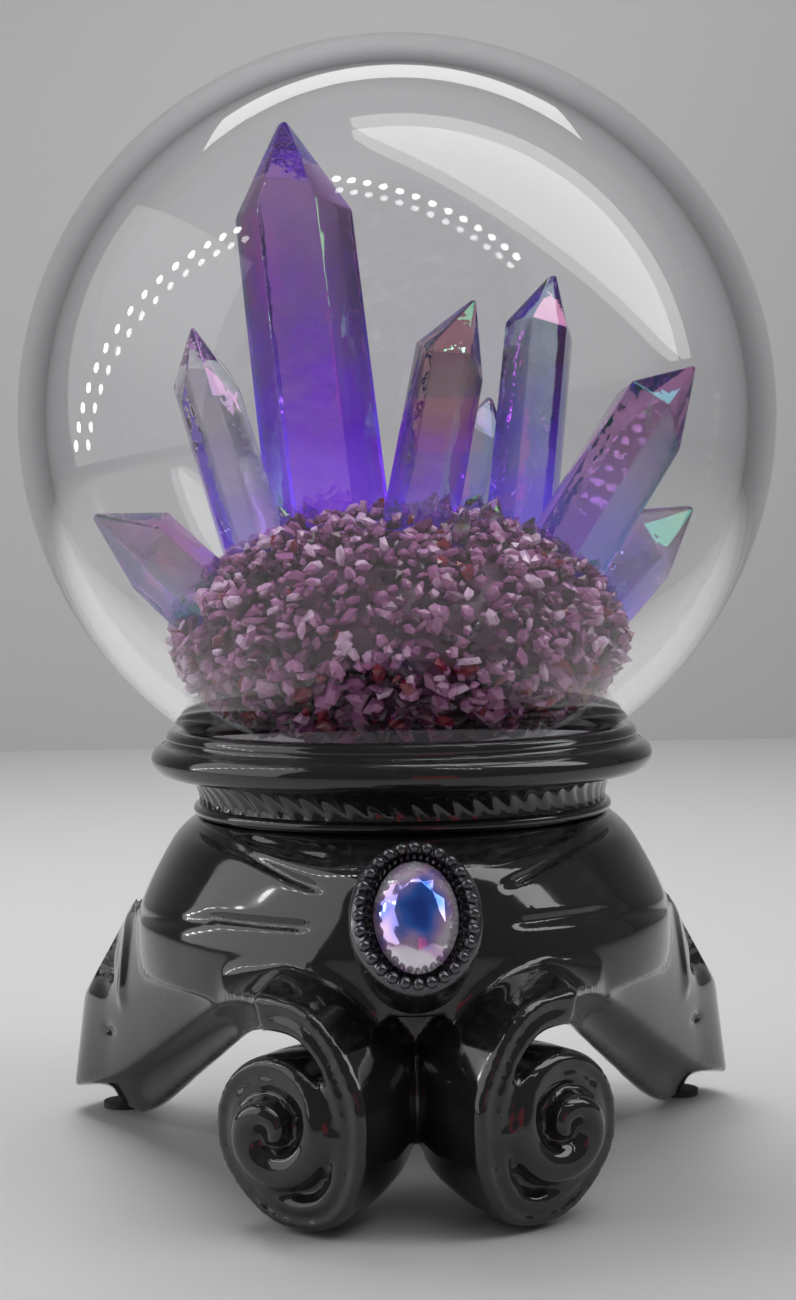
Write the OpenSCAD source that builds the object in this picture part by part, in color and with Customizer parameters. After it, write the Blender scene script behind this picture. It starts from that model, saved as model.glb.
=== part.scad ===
// Crystal ball: a clear hollow globe with a cluster of tinted crystals on a bed of crushed chips,
// held in a flanged collar on a gloss black scroll-footed stand, and lit from below.
// The origin is on the globe's axis, in the plane that the feet stand on. -Y is the front, with the gem.

/* [Globe] */
// Outer diameter of the globe
globe_d = 100; // [98:0.5:101]
// Thickness of the globe's wall
globe_wall = 3.6; // [3.2:0.1:3.8]
// Height of the globe's centre above the table
globe_z = 96.4; // [96.2:0.1:96.6]
// Height at which the globe is cut open and ground flat
mouth_z = 54.4; // [54.2:0.1:54.6]

/* [Bed and crystals] */
// Largest radius of the bed of chips
bed_r = 31; // [29:0.5:32]
// Height of the bed's widest ring
bed_z = 67; // [66:0.5:68]
// Rise of the bed above its widest ring
bed_rise = 18.8; // [17:0.2:20]
// Depth of the bed's curve below its widest ring
bed_drop = 15; // [14.6:0.1:15.2]
// Thickness of the layer of chips over the moulded core
chip_layer = 2.6; // [2:0.1:3.2]

/* [Collar and neck] */
// Outer radius of the collar's flange
flange_r = 33.5; // [33:0.1:34]
// Radius of the flange's rounded bead
bead_r = 2.1; // [1.8:0.1:2.3]
// Height of the flange bead's centre
flange_z = 51.8; // [51.7:0.1:51.9]
// Radius of the neck, and of the top of the stand
neck_r = 27.2; // [27:0.1:27.6]
// Height of the ring where the neck meets the stand
neck_ring_z = 45.1; // [45:0.1:45.4]

/* [Stand] */
// Height of the top of the stand's shell
stand_top = 44.3; // [44.2:0.1:44.4]
// Height of the shell's lower edge above the table
stand_low = 24.3; // [24.2:0.1:24.8]
// Wall thickness of the shell
stand_wall = 2.2; // [1.8:0.1:2.6]

/* [Scrolls] */
// Height of a scroll's eye above the table
eye_z = 12; // [11.9:0.1:12.2]
// Width of a scroll's band, along the scroll's axis
band_w = 15.4; // [14:0.2:15.6]
// Angle that a scroll's face is turned out from the front
splay = 34; // [33:1:38]
// Radius of the rolled boss in the middle of a scroll
boss_r = 8.4; // [8.2:0.1:8.5]

/* [Gem] */
// Width of the oval stone
stone_w = 10; // [9:0.5:11]
// Height of the oval stone
stone_h = 14; // [13:0.5:15]
// Lean of the gem away from upright
gem_lean = 30; // [28:1:32]

/* [Lamp and switch] */
// Diameter of a button cell
cell_d = 11.6; // [11.4:0.1:11.6]
// Thickness of a button cell
cell_h = 5.4; // [5.2:0.1:5.4]
// Travel of the switch slider
switch_travel = 3; // [2:0.5:3]

/* [Hidden] */

$fn = 72;
hull_fn = 40;
eps = 0.01;
fit_gap = 0.05;

globe_r = globe_d / 2;
globe_fn = 120;
seal_t = 1;
seal_r = 27;
shelf_z = mouth_z - seal_t;
shelf_r = seal_r + 0.2;
disc_r = 19.2;
disc_bore = disc_r + 0.2;
ledge_bore = 17.8;
disc_low = 52;
disc_high = 56;
collar_top = 55.8;
lip_r = 0.9;
lip_at = [30.5, 54.9];
groove_r = 0.8;
groove_at = [32.3, 54.5];
neck_top = 49.8;
neck_bore = 22.4;
cove_r = 4.2;
cove_z = 46.2;
neck_blank_r = 31;
ring_r = 0.8;
plate_t = 2;
plate_top = stand_low + 0.3 + plate_t;
plate_low = plate_top - plate_t;

// Circles that the stand's outer form is wrapped round: [x, y, radius, height]
slice = 0.4;
stand_discs = [
    [0, 0, neck_r, stand_top],
    [0, 0, 31.5, 39],
    [0, 0, 34.4, 33],
    [0, 0, 35.2, plate_top + slice],
    [0, 0, 35.2, stand_low],
    [0, -24.5, 11, 43],
    [0, -26, 13, 31],
    [0, -27, 13.5, plate_top + slice],
    [0, -27, 13.5, stand_low],
    [-30, 9, 8, stand_low],
    [30, 9, 8, stand_low],
    [-30, 9, 8, plate_top + slice],
    [30, 9, 8, plate_top + slice]
];
post_places = [[0, -32.5], [-19, 22.5], [19, 22.5]];
post_r = 3;
screw_r = 1.1;
screw_hole_r = screw_r + fit_gap;
screw_head = 1.5;
screw_head_r = 2;
collar_screw_ring = 24.7;
board_screw_ring = 14.5;
board_post_r = 2.4;
wire_way_r = 8;
board_r = 17;
board_low = 46.6;
board_t = 1.6;
board_top = board_low + board_t;
led_ring = 5;

tray_y = 3;
tray_wall = 1.2;
tray_x = cell_d + 0.6;
tray_len = 3 * cell_h + 4.6;
tray_high = plate_top + cell_d + 2.1;
cell_z = plate_top + 0.6 + cell_d / 2;
spring_turns = 3;
spring_steps = 16;
spring_sides = 6;
spring_wire_r = 0.3;
spring_pitch = 1.12;
door_w = 17;
door_len = 25;
door_t = 1.4;
door_top = plate_low - 0.6;
rail_w = 1.6;
rail_x = door_w / 2 + 0.3;
lip_t = 1;
lip_w = 2.8;
rail_low = door_top - door_t - 1.3;

switch_y = -21;
switch_x = 11;
switch_w = 5.6;
slider_x = 3;
slider_w = 2.4;
slide_shoe_x = 5.4;
slide_shoe_w = 3.6;
slot_x = slider_x + switch_travel + 0.6;
shoe_slot_x = slide_shoe_x + switch_travel + 0.6;

pad_t = 0.8;
toe = [-40, 19];
toe_r = 3.4;
arch = [-21, -25];
flank = [-34, -3];
heel = [-36.5, 15];
scroll_eye = [-12.3, -36.2, eye_z];

gem_y = -42.4;
gem_z = 36.3;
setting_w = 15.6;
setting_h = 19;
setting_t = 1.8;
bead_count = 28;
gem_bead_r = 0.72;

// Each crystal: [root, tip, radius, length of the pointed cap, colour]
crystal_table = [
    [[-9, 3, 80], [-14.8, 0, 136.4], 9, 11, "mediumpurple"],
    [[-18, -3, 76], [-27.4, -5, 108.5], 5, 8, "lavender"],
    [[-19, -5, 67], [-38.6, -6, 85.9], 6, 9, "darkorchid"],
    [[1.6, -7, 77], [8.4, -10, 111.7], 5.6, 9, "rosybrown"],
    [[16.4, 4, 76], [20.7, 4, 116.6], 5.6, 9, "lightsteelblue"],
    [[18, -3, 72], [38.4, -4, 104.1], 6.4, 10, "plum"],
    [[23, 2, 67], [39.8, 2, 85.3], 5.6, 8, "slateblue"],
    [[6.5, 8, 77], [13.1, 9, 100.3], 4.4, 6, "royalblue"]
];

// Points of an oval of half-width a and half-height b
function oval(a, b, n = 48) = [for (i = [0:n - 1]) [a * cos(360 * i / n), b * sin(360 * i / n)]];

// Half of a dome's outline above height low, closed on the axis, for turning round Z
function dome_outline(a, b, drop, z, low, n = 36) =
    let (start = asin((low - z) / drop))
    concat(
        [[0, low]],
        [
            for (i = [0:n])
                let (t = start + (90 - start) * i / n)
                [i == n ? 0 : a * cos(t), z + (t < 0 ? drop : b) * sin(t)]
        ]
    );

// Radius of a scroll band's outer face at angle t, in degrees up from the side that faces the centre
function band_outer(t) =
    t > 0
        ? 12 + 4.6 * pow(t / 90, 1.4)
        : 12 - 1.2 * sin(2 * t) * min(1, -t / 30) - 2.9 * pow(t / 180, 2);

// Thickness of a scroll band at angle t
function band_thick(t) = t > 0 ? 4 + 0.4 * t / 90 : 4 * (1 + 0.82 * t / 180);

bed_outline = dome_outline(bed_r, bed_rise, bed_drop, bed_z, disc_high);
core_outline = dome_outline(
    bed_r - chip_layer, bed_rise - chip_layer, bed_drop - chip_layer, bed_z, disc_high
);

band_from = -180;
band_to = 118;
band_steps = 36;
function band_angle(i) = band_from + (band_to - band_from) * i / band_steps;
function spoke(r, t) = [r * cos(t), r * sin(t)];
band_outline = concat(
    [for (i = [0:band_steps]) let (t = band_angle(i)) spoke(band_outer(t), t)],
    [for (i = [band_steps:-1:0]) let (t = band_angle(i)) spoke(band_outer(t) - band_thick(t), t)]
);

module ring_of(count, radius, start = 90)
    for (i = [0:count - 1])
        rotate([0, 0, start + 360 * i / count]) translate([radius, 0, 0]) children();

module globe()
    color([0.85, 0.92, 0.95, 0.3])
        difference() {
            translate([0, 0, globe_z]) sphere(r = globe_r, $fn = globe_fn);
            translate([0, 0, globe_z]) sphere(r = globe_r - globe_wall, $fn = globe_fn);
            translate([0, 0, mouth_z - globe_r]) cylinder(r = globe_r, h = globe_r);
        }

module globe_seal()
    color("gainsboro")
        translate([0, 0, shelf_z])
            difference() {
                cylinder(r = seal_r, h = seal_t);
                translate([0, 0, -eps]) cylinder(r = disc_bore, h = seal_t + 2 * eps);
            }

module bed_disc()
    color([0.9, 0.88, 0.95, 0.6])
        translate([0, 0, disc_low]) cylinder(r = disc_r, h = disc_high - disc_low);

module crystal_sockets()
    for (c = crystal_table)
        along(c[0], c[1]) cylinder(r = c[2] + fit_gap, h = 30, $fn = 6);

module mound_core()
    color("thistle")
        difference() {
            rotate_extrude() polygon(core_outline);
            crystal_sockets();
        }

module chip_bed()
    color("orchid")
        difference() {
            rotate_extrude()
                difference() {
                    polygon(bed_outline);
                    polygon(core_outline);
                }
            crystal_sockets();
        }

// Turns +Z to run from a towards b, starting at a
module along(a, b) {
    d = b - a;
    translate(a) rotate([0, acos(d[2] / norm(d)), atan2(d[1], d[0])]) children();
}

module crystal_form(i, grow = 0) {
    c = crystal_table[i];
    shaft = norm(c[1] - c[0]) - c[3];
    along(c[0], c[1]) {
        cylinder(r = c[2] + grow, h = shaft, $fn = 6);
        translate([0, 0, shaft]) cylinder(r1 = c[2] + grow, r2 = 0.3, h = c[3], $fn = 6);
    }
}

// Where two crystals cross near their roots, the later one in the table is cut back
module crystal(i)
    color(crystal_table[i][4])
        difference() {
            crystal_form(i);
            for (j = [0:1:i - 1]) crystal_form(j, fit_gap);
        }

module collar()
    color([0.08, 0.08, 0.09])
        difference() {
            rotate_extrude()
                difference() {
                    union() {
                        translate([flange_r - bead_r, flange_z]) circle(r = bead_r, $fn = 40);
                        polygon([
                            [ledge_bore, neck_top],
                            [flange_r - bead_r, neck_top],
                            [flange_r - bead_r, flange_z + bead_r],
                            [lip_at[0] + 0.7, collar_top - 0.6],
                            [lip_at[0] - 0.1, collar_top],
                            [ledge_bore, collar_top]
                        ]);
                        translate(lip_at) circle(r = lip_r, $fn = 32);
                    }
                    translate([0, globe_z]) circle(r = globe_r + fit_gap, $fn = 160);
                    translate([0, disc_low]) square([disc_bore, 20]);
                    translate([0, shelf_z]) square([shelf_r, 20]);
                    translate(groove_at) circle(r = groove_r, $fn = 32);
                }
            ring_of(3, collar_screw_ring)
                translate([0, 0, neck_top - eps]) cylinder(r = screw_hole_r, h = 2.6);
        }

module neck_band()
    color([0.06, 0.06, 0.07])
        difference() {
            rotate_extrude()
                difference() {
                    translate([neck_bore, stand_top])
                        square([neck_blank_r - neck_bore, neck_top - stand_top]);
                    translate([neck_r + cove_r, cove_z]) circle(r = cove_r, $fn = 48);
                    translate([neck_r, cove_z - 5]) square([10, 5]);
                    translate([neck_r, neck_ring_z]) circle(r = ring_r, $fn = 32);
                }
            ring_of(3, collar_screw_ring)
                translate([0, 0, stand_top - eps]) cylinder(r = screw_hole_r, h = 8);
        }

module neck_ring()
    color([0.1, 0.1, 0.11])
        translate([0, 0, neck_ring_z])
            rotate_extrude() translate([neck_r, 0]) circle(r = ring_r, $fn = 32);

module stand_form(inset, low, high)
    hull()
        for (d = stand_discs)
            translate([d[0], d[1], d[3] == stand_low ? low : min(d[3], high) - slice])
                cylinder(r = d[2] - inset, h = slice, $fn = hull_fn);

module stand_outer() stand_form(0, stand_low, stand_top);

module stand_shell()
    color([0.09, 0.09, 0.1])
        difference() {
            union() {
                difference() {
                    stand_outer();
                    stand_form(stand_wall, stand_low - 1, stand_top - plate_t);
                }
                intersection() {
                    for (p = post_places)
                        translate([p[0], p[1], plate_top]) cylinder(r = post_r, h = stand_top - plate_top);
                    stand_outer();
                }
                ring_of(3, board_screw_ring, 30)
                    translate([0, 0, stand_top - eps])
                        cylinder(r = board_post_r, h = board_low - stand_top + eps);
            }
            translate([0, 0, stand_top - 5]) cylinder(r = wire_way_r, h = 10);
            for (p = post_places)
                translate([p[0], p[1], plate_top - 1]) cylinder(r = screw_hole_r, h = 9);
            ring_of(3, collar_screw_ring) {
                translate([0, 0, stand_top - 6]) cylinder(r = screw_hole_r, h = 10);
                translate([0, 0, stand_top - plate_t - screw_head - 0.2])
                    cylinder(r = screw_head_r + 0.2, h = screw_head + 0.2);
            }
            ring_of(3, board_screw_ring, 30)
                translate([0, 0, board_low - 3.2]) cylinder(r = screw_hole_r, h = 4);
        }

// Places a scroll's own frame: local X towards the centre line, local Y up, local Z out along the eye's axis
module scroll_place()
    translate(scroll_eye) rotate([90, 0, -splay]) children();

module scroll_form()
    scroll_place() {
        translate([0, 0, -band_w / 2])
            linear_extrude(height = band_w) {
                polygon(band_outline);
                circle(r = boss_r, $fn = 64);
            }
        translate([0, 0, band_w / 2 - eps])
            rotate_extrude()
                polygon([[0, 0], [7.6, 0], [7.2, 0.8], [4.6, 1.5], [2, 2.2], [0, 2.3]]);
    }

module scroll_leg()
    color([0.08, 0.08, 0.09])
        difference() {
            scroll_form();
            stand_outer();
            translate([0, -60, 0]) cube([20, 60, 60]);
        }

module side_foot_form() {
    hull() {
        translate([arch[0], arch[1], 24]) cylinder(r = 2.4, h = 3.2, $fn = hull_fn);
        translate([flank[0], flank[1], 16]) cylinder(r = 3, h = 14, $fn = hull_fn);
        translate([flank[0] + 4, flank[1] + 2, 22]) cylinder(r = 3, h = 8, $fn = hull_fn);
    }
    hull() {
        translate([flank[0], flank[1], 16]) cylinder(r = 3, h = 14, $fn = hull_fn);
        translate([heel[0], heel[1], 22]) cylinder(r = 3, h = 8.5, $fn = hull_fn);
        translate([toe[0] - 1.6, toe[1], 7]) cylinder(r = toe_r, h = 8, $fn = hull_fn);
        translate([toe[0], toe[1], pad_t]) cylinder(r = toe_r, h = 3, $fn = hull_fn);
    }
}

module side_foot()
    color([0.08, 0.08, 0.09])
        difference() {
            side_foot_form();
            stand_outer();
            scroll_form();
        }

module gem_place()
    translate([0, gem_y, gem_z]) rotate([90 - gem_lean, 0, 0]) children();

module gem_setting()
    color([0.12, 0.12, 0.13])
        difference() {
            gem_place()
                difference() {
                    translate([0, 0, -7])
                        linear_extrude(height = 7 + setting_t)
                            polygon(oval(setting_w / 2, setting_h / 2));
                    linear_extrude(height = 10)
                        polygon(oval(stone_w / 2 + fit_gap, stone_h / 2 + fit_gap));
                }
            stand_outer();
            neck_keepout();
        }

// Room that the gem's setting leaves for the neck above it
module neck_keepout() {
    translate([0, 0, stand_top]) cylinder(r = 32, h = 10);
}

module gem_beads()
    color([0.2, 0.2, 0.21])
        gem_place()
            for (p = oval(setting_w / 2 - 1.1, setting_h / 2 - 1.1, bead_count))
                translate([p[0], p[1], setting_t])
                    difference() {
                        sphere(r = gem_bead_r, $fn = 24);
                        translate([-2, -2, -4]) cube([4, 4, 4]);
                    }

module gem_stone()
    color([0.4, 0.55, 0.9])
        gem_place() {
            linear_extrude(height = 1.6) polygon(oval(stone_w / 2, stone_h / 2));
            translate([0, 0, 1.6 - eps])
                linear_extrude(height = 2, scale = 0.62) polygon(oval(stone_w / 2, stone_h / 2));
        }

module front_pads()
    color([0.15, 0.15, 0.15])
        for (s = [0, 1])
            mirror([s, 0, 0])
                difference() {
                    translate([scroll_eye[0], scroll_eye[1], 0]) cylinder(r = 3, h = 1.6);
                    scroll_form();
                }

module side_pads()
    color([0.15, 0.15, 0.15])
        for (s = [0, 1])
            mirror([s, 0, 0])
                translate([toe[0], toe[1], 0]) cylinder(r = toe_r - 0.6, h = pad_t);

module base_outline(inset)
    hull()
        for (d = stand_discs)
            if (d[3] == stand_low)
                translate([d[0], d[1]]) circle(r = d[2] - inset, $fn = hull_fn);

module base_plate()
    color([0.1, 0.1, 0.1])
        difference() {
            union() {
                translate([0, 0, plate_low])
                    linear_extrude(height = plate_t) base_outline(stand_wall + 0.15);
                for (s = [0, 1])
                    mirror([s, 0, 0]) {
                        translate([rail_x, tray_y - door_len / 2, rail_low])
                            cube([rail_w, door_len, plate_low - rail_low + eps]);
                        translate([rail_x + rail_w - lip_w, tray_y - door_len / 2, rail_low])
                            cube([lip_w, door_len, lip_t]);
                    }
            }
            translate([-tray_x / 2, tray_y - tray_len / 2, plate_low - 1])
                cube([tray_x, tray_len, plate_t + 2]);
            translate([-slot_x / 2, switch_y - slider_w / 2 - 0.2, plate_low - 1])
                cube([slot_x, slider_w + 0.4, plate_t + 2]);
            for (p = post_places)
                translate([p[0], p[1], plate_low - 1]) cylinder(r = screw_hole_r, h = plate_t + 2);
        }

// A pan-head screw standing on its tip, with its head at the bottom
module screw(length)
    difference() {
        union() {
            cylinder(r = screw_head_r, h = screw_head);
            cylinder(r = screw_r, h = length + screw_head);
        }
        for (a = [0, 90])
            rotate([0, 0, a]) translate([-1.2, -0.25, -eps]) cube([2.4, 0.5, 0.8]);
    }

module base_screws()
    color("silver")
        for (p = post_places)
            translate([p[0], p[1], plate_low - screw_head]) screw(9);

module collar_screws()
    color("silver")
        ring_of(3, collar_screw_ring)
            translate([0, 0, stand_top - plate_t - screw_head]) screw(9.5);

module board_screws()
    color("silver")
        ring_of(3, board_screw_ring, 30)
            translate([0, 0, board_top + screw_head]) mirror([0, 0, 1]) screw(4.4);

module lamp_board()
    color("seagreen")
        difference() {
            translate([0, 0, board_low]) cylinder(r = board_r, h = board_t);
            ring_of(3, board_screw_ring, 30)
                translate([0, 0, board_low - 1]) cylinder(r = screw_hole_r, h = 5);
        }

module lamp_leds()
    color("violet")
        ring_of(4, led_ring, 45)
            translate([0, 0, board_top]) {
                cylinder(r = 1.9, h = 0.8);
                cylinder(r = 1.5, h = 1.8);
                translate([0, 0, 1.8]) sphere(r = 1.5, $fn = 32);
            }

module lamp_reflector()
    color("white")
        translate([0, 0, board_top])
            rotate_extrude() polygon([[8.4, 0], [9.4, 0], [11.8, 3.5], [10.8, 3.5]]);

module battery_tray()
    color([0.18, 0.18, 0.2])
        difference() {
            translate([-tray_x / 2 - tray_wall, tray_y - tray_len / 2 - tray_wall, plate_top])
                cube([tray_x + 2 * tray_wall, tray_len + 2 * tray_wall, tray_high - plate_top]);
            translate([-tray_x / 2, tray_y - tray_len / 2, plate_top - 1])
                cube([tray_x, tray_len, tray_high - plate_top - tray_wall + 1]);
        }

module button_cells()
    color("lightgray")
        for (i = [0:2])
            translate([0, tray_y + tray_len / 2 - 0.44 - i * (cell_h + 0.02), cell_z])
                rotate([90, 0, 0]) {
                    cylinder(d = cell_d, h = cell_h - 0.6);
                    cylinder(d = cell_d - 2.6, h = cell_h);
                }

module battery_contact()
    color("goldenrod")
        translate([-4, tray_y + tray_len / 2 - 0.4, cell_z - 4]) cube([8, 0.4, 8]);

// Point on the battery spring's wire: ring i of the coil, side j of the wire
function spring_point(i, j) =
    let (turn = 360 * i / spring_steps, r = 4.2 - 2.2 * i / (spring_turns * spring_steps))
    let (a = 360 * j / spring_sides, out = r + spring_wire_r * cos(a))
    [out * cos(turn), out * sin(turn), spring_wire_r * (1 + sin(a)) + spring_pitch * turn / 360];

module battery_spring() {
    rings = spring_turns * spring_steps;
    points = [for (i = [0:rings], j = [0:spring_sides - 1]) spring_point(i, j)];
    walls = [
        for (i = [0:rings - 1], j = [0:spring_sides - 1])
            let (k = (j + 1) % spring_sides)
            let (low = i * spring_sides, high = low + spring_sides)
            [low + j, low + k, high + k, high + j]
    ];
    ends = [
        [for (j = [spring_sides - 1:-1:0]) j],
        [for (j = [0:spring_sides - 1]) rings * spring_sides + j]
    ];
    color("goldenrod")
        translate([0, tray_y - tray_len / 2, cell_z])
            rotate([-90, 0, 0]) polyhedron(points, concat(walls, ends));
}

module battery_door()
    color([0.13, 0.13, 0.14])
        difference() {
            union() {
                translate([-door_w / 2, tray_y - door_len / 2, door_top - door_t])
                    cube([door_w, door_len, door_t]);
                translate([-3, tray_y - door_len / 2 + 1, door_top - eps]) cube([6, 3, 0.4]);
            }
            for (i = [0:3])
                translate([-3.5, tray_y + 4 + 1.8 * i, door_top - door_t - 0.5]) cube([7, 0.8, 0.9]);
        }

module switch_body()
    color([0.3, 0.3, 0.32])
        difference() {
            translate([-switch_x / 2, switch_y - switch_w / 2, plate_top])
                cube([switch_x, switch_w, 4.6]);
            translate([-shoe_slot_x / 2, switch_y - slide_shoe_w / 2 - 0.2, plate_top - 1])
                cube([shoe_slot_x, slide_shoe_w + 0.4, 2.4]);
        }

module switch_slider()
    color([0.02, 0.02, 0.02])
        difference() {
            union() {
                translate([-switch_travel / 2 - slider_x / 2, switch_y - slider_w / 2, plate_low - 1.6])
                    cube([slider_x, slider_w, plate_t + 2]);
                translate([
                    -switch_travel / 2 - slide_shoe_x / 2, switch_y - slide_shoe_w / 2, plate_top + 0.2
                ])
                    cube([slide_shoe_x, slide_shoe_w, 0.9]);
            }
            for (i = [-1:1])
                translate([-switch_travel / 2 + 0.8 * i - 0.2, switch_y - 2, plate_low - 1.7])
                    cube([0.4, 4, 0.4]);
        }

// A wire from the tray's roof up to the board
module wire(x)
    translate([x, tray_y - 6, tray_high]) cylinder(r = 0.6, h = board_low - tray_high, $fn = 24);

module red_wire() color("crimson") wire(-2);

module black_wire() color([0.1, 0.1, 0.1]) wire(2);

globe();
globe_seal();
bed_disc();
mound_core();
chip_bed();
crystal(0);  // crystal_tall
crystal(1);  // crystal_slim_left
crystal(2);  // crystal_low_left
crystal(3);  // crystal_centre
crystal(4);  // crystal_clear_right
crystal(5);  // crystal_lean_right
crystal(6);  // crystal_low_right
crystal(7);  // crystal_rear_small
collar();
neck_band();
neck_ring();
stand_shell();
scroll_leg();  // scroll_leg_left
mirror([1, 0, 0]) scroll_leg();  // scroll_leg_right
side_foot();  // side_foot_left
mirror([1, 0, 0]) side_foot();  // side_foot_right
gem_setting();
gem_beads();
gem_stone();
front_pads();
side_pads();
base_plate();
base_screws();
collar_screws();
board_screws();
lamp_board();
lamp_leds();
lamp_reflector();
battery_tray();
button_cells();
battery_spring();
battery_contact();
battery_door();
switch_body();
switch_slider();
red_wire();
black_wire();
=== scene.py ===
"""Shown pieces of a crystal ball ornament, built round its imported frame.

Lengths inside the classes are in millimetres; a piece is scaled to metres when its mesh is finished.
"""
import logging
import math
import random
import sys
from dataclasses import dataclass, field
from enum import Enum
from typing import Callable, Iterable, Sequence

import bmesh
import bpy
from mathutils import Matrix, Quaternion, Vector

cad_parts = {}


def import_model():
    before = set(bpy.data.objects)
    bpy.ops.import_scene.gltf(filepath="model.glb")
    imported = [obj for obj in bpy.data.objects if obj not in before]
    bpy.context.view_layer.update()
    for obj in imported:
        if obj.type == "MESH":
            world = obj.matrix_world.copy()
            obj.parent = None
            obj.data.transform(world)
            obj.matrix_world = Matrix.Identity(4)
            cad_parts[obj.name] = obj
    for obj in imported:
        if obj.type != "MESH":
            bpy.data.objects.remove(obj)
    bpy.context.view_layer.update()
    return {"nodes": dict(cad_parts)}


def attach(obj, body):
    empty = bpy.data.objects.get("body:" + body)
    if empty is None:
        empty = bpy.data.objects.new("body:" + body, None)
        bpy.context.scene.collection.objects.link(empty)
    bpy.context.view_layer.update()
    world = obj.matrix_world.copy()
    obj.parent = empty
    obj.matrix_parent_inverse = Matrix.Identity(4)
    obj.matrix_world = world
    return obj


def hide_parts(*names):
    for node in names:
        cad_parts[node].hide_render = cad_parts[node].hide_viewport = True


log = logging.getLogger("crystal_ball")

MM = 0.001
FULL_TURN = 2 * math.pi
UP = Vector((0, 0, 1))
ORIGIN = (0, 0, 0)
OTHER_SIDE = (-1, 1, 1)
WHITE = (1.0, 1.0, 1.0)
ACRYLIC_INDEX = 1.49
Colour = tuple[float, float, float]
Spot = tuple[float, float]
Place = tuple[float, float, float]
Mesh = bmesh.types.BMesh
Socket = bpy.types.NodeSocket


class Body(Enum):
    """The bodies of the frame that pieces ride on."""

    STAND = "stand"
    DOOR = "battery_door"
    SLIDER = "switch_slider"


# ---------------------------------------------------------------- shader groups

# Features per metre.
BROAD_GRAINS = 60.0
DUST_SPECKS = 900.0
DYE_WISPS = 140.0
CRYSTAL_DENTS = 320.0
# Where each pattern's fade starts and ends.
GRAIN_FADE = (0.3, 0.7)
SPECK_FADE = (0.5, 0.72)
WISP_FADE = (0.3, 0.7)
LOWER_DYE = (0.25, 0.6)
UPPER_DYE = (0.6, 0.95)
# Painted glow: where a crystal's root glow fades out; the glow stands in for light from the lamp below.
PAINTED_ROOT_GLOW = (0.12, 0.62)
WISP_DRIFT = 0.16


def new_group(name: str, inputs: dict[str, tuple[str, object]], outputs: dict[str, str]) -> bpy.types.NodeTree:
    """Makes an empty shader node group with named sockets.

    Args:
        name: The group's name.
        inputs: Each input's socket type and default value.
        outputs: Each output's socket type.

    Returns:
        The group's node tree.
    """
    group = bpy.data.node_groups.new(name, "ShaderNodeTree")
    for label, (kind, value) in inputs.items():
        socket = group.interface.new_socket(label, in_out="INPUT", socket_type=kind)
        socket.default_value = value
    for label, kind in outputs.items():
        group.interface.new_socket(label, in_out="OUTPUT", socket_type=kind)
    return group


class Wiring:
    """Adds and joins nodes in one node tree."""

    def __init__(self, tree: bpy.types.NodeTree) -> None:
        """Keeps the tree that nodes are added to."""
        self.tree = tree

    def node(self, kind: str, **settings: object) -> bpy.types.Node:
        """Adds a node.

        Args:
            kind: The node's type name.
            settings: Properties of the node, by name.

        Returns:
            The new node.
        """
        made = self.tree.nodes.new(kind)
        for label, value in settings.items():
            setattr(made, label, value)
        return made

    def join(self, source: Socket, target: Socket) -> None:
        """Links one socket to another."""
        self.tree.links.new(source, target)

    def noise(self, scale: float, detail: float) -> bpy.types.Node:
        """Adds a noise texture on the object's own coordinates.

        Args:
            scale: Features per metre.
            detail: Octaves of detail.

        Returns:
            The texture node.
        """
        texture = self.node("ShaderNodeTexNoise")
        texture.inputs["Scale"].default_value = scale
        texture.inputs["Detail"].default_value = detail
        self.join(self.node("ShaderNodeTexCoord").outputs["Object"], texture.inputs["Vector"])
        return texture

    def spread(self, value: Socket, low: float, high: float,
               start: float = 0.0, end: float = 1.0) -> Socket:
        """Maps a value between start and end to one between low and high, and returns the result."""
        mapper = self.node("ShaderNodeMapRange")
        for label, number in (("From Min", start), ("From Max", end), ("To Min", low), ("To Max", high)):
            mapper.inputs[label].default_value = number
        self.join(value, mapper.inputs["Value"])
        return mapper.outputs["Result"]

    def ramp(self, value: Socket, stops: Sequence[tuple[float, Colour]]) -> Socket:
        """Colours a value.

        Args:
            value: The factor.
            stops: Places along the ramp and their colours.

        Returns:
            The colour socket.
        """
        made = self.node("ShaderNodeValToRGB")
        elements = made.color_ramp.elements
        while len(elements) < len(stops):
            elements.new(1.0)
        for element, (place, colour) in zip(elements, stops):
            element.position = place
            element.color = (*colour, 1.0)
        self.join(value, made.inputs["Fac"])
        return made.outputs["Color"]

    def mix(self, factor: Socket, first: object, second: object) -> Socket:
        """Mixes two colours, each a socket or a plain colour, and returns the result."""
        made = self.node("ShaderNodeMix", data_type="RGBA")
        self.join(factor, made.inputs["Factor"])
        for label, value in (("A", first), ("B", second)):
            target = next(s for s in made.inputs if s.name == label and s.type == "RGBA")
            if isinstance(value, Socket):
                self.join(value, target)
            else:
                target.default_value = (*value, 1.0)
        return next(s for s in made.outputs if s.type == "RGBA")


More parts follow.
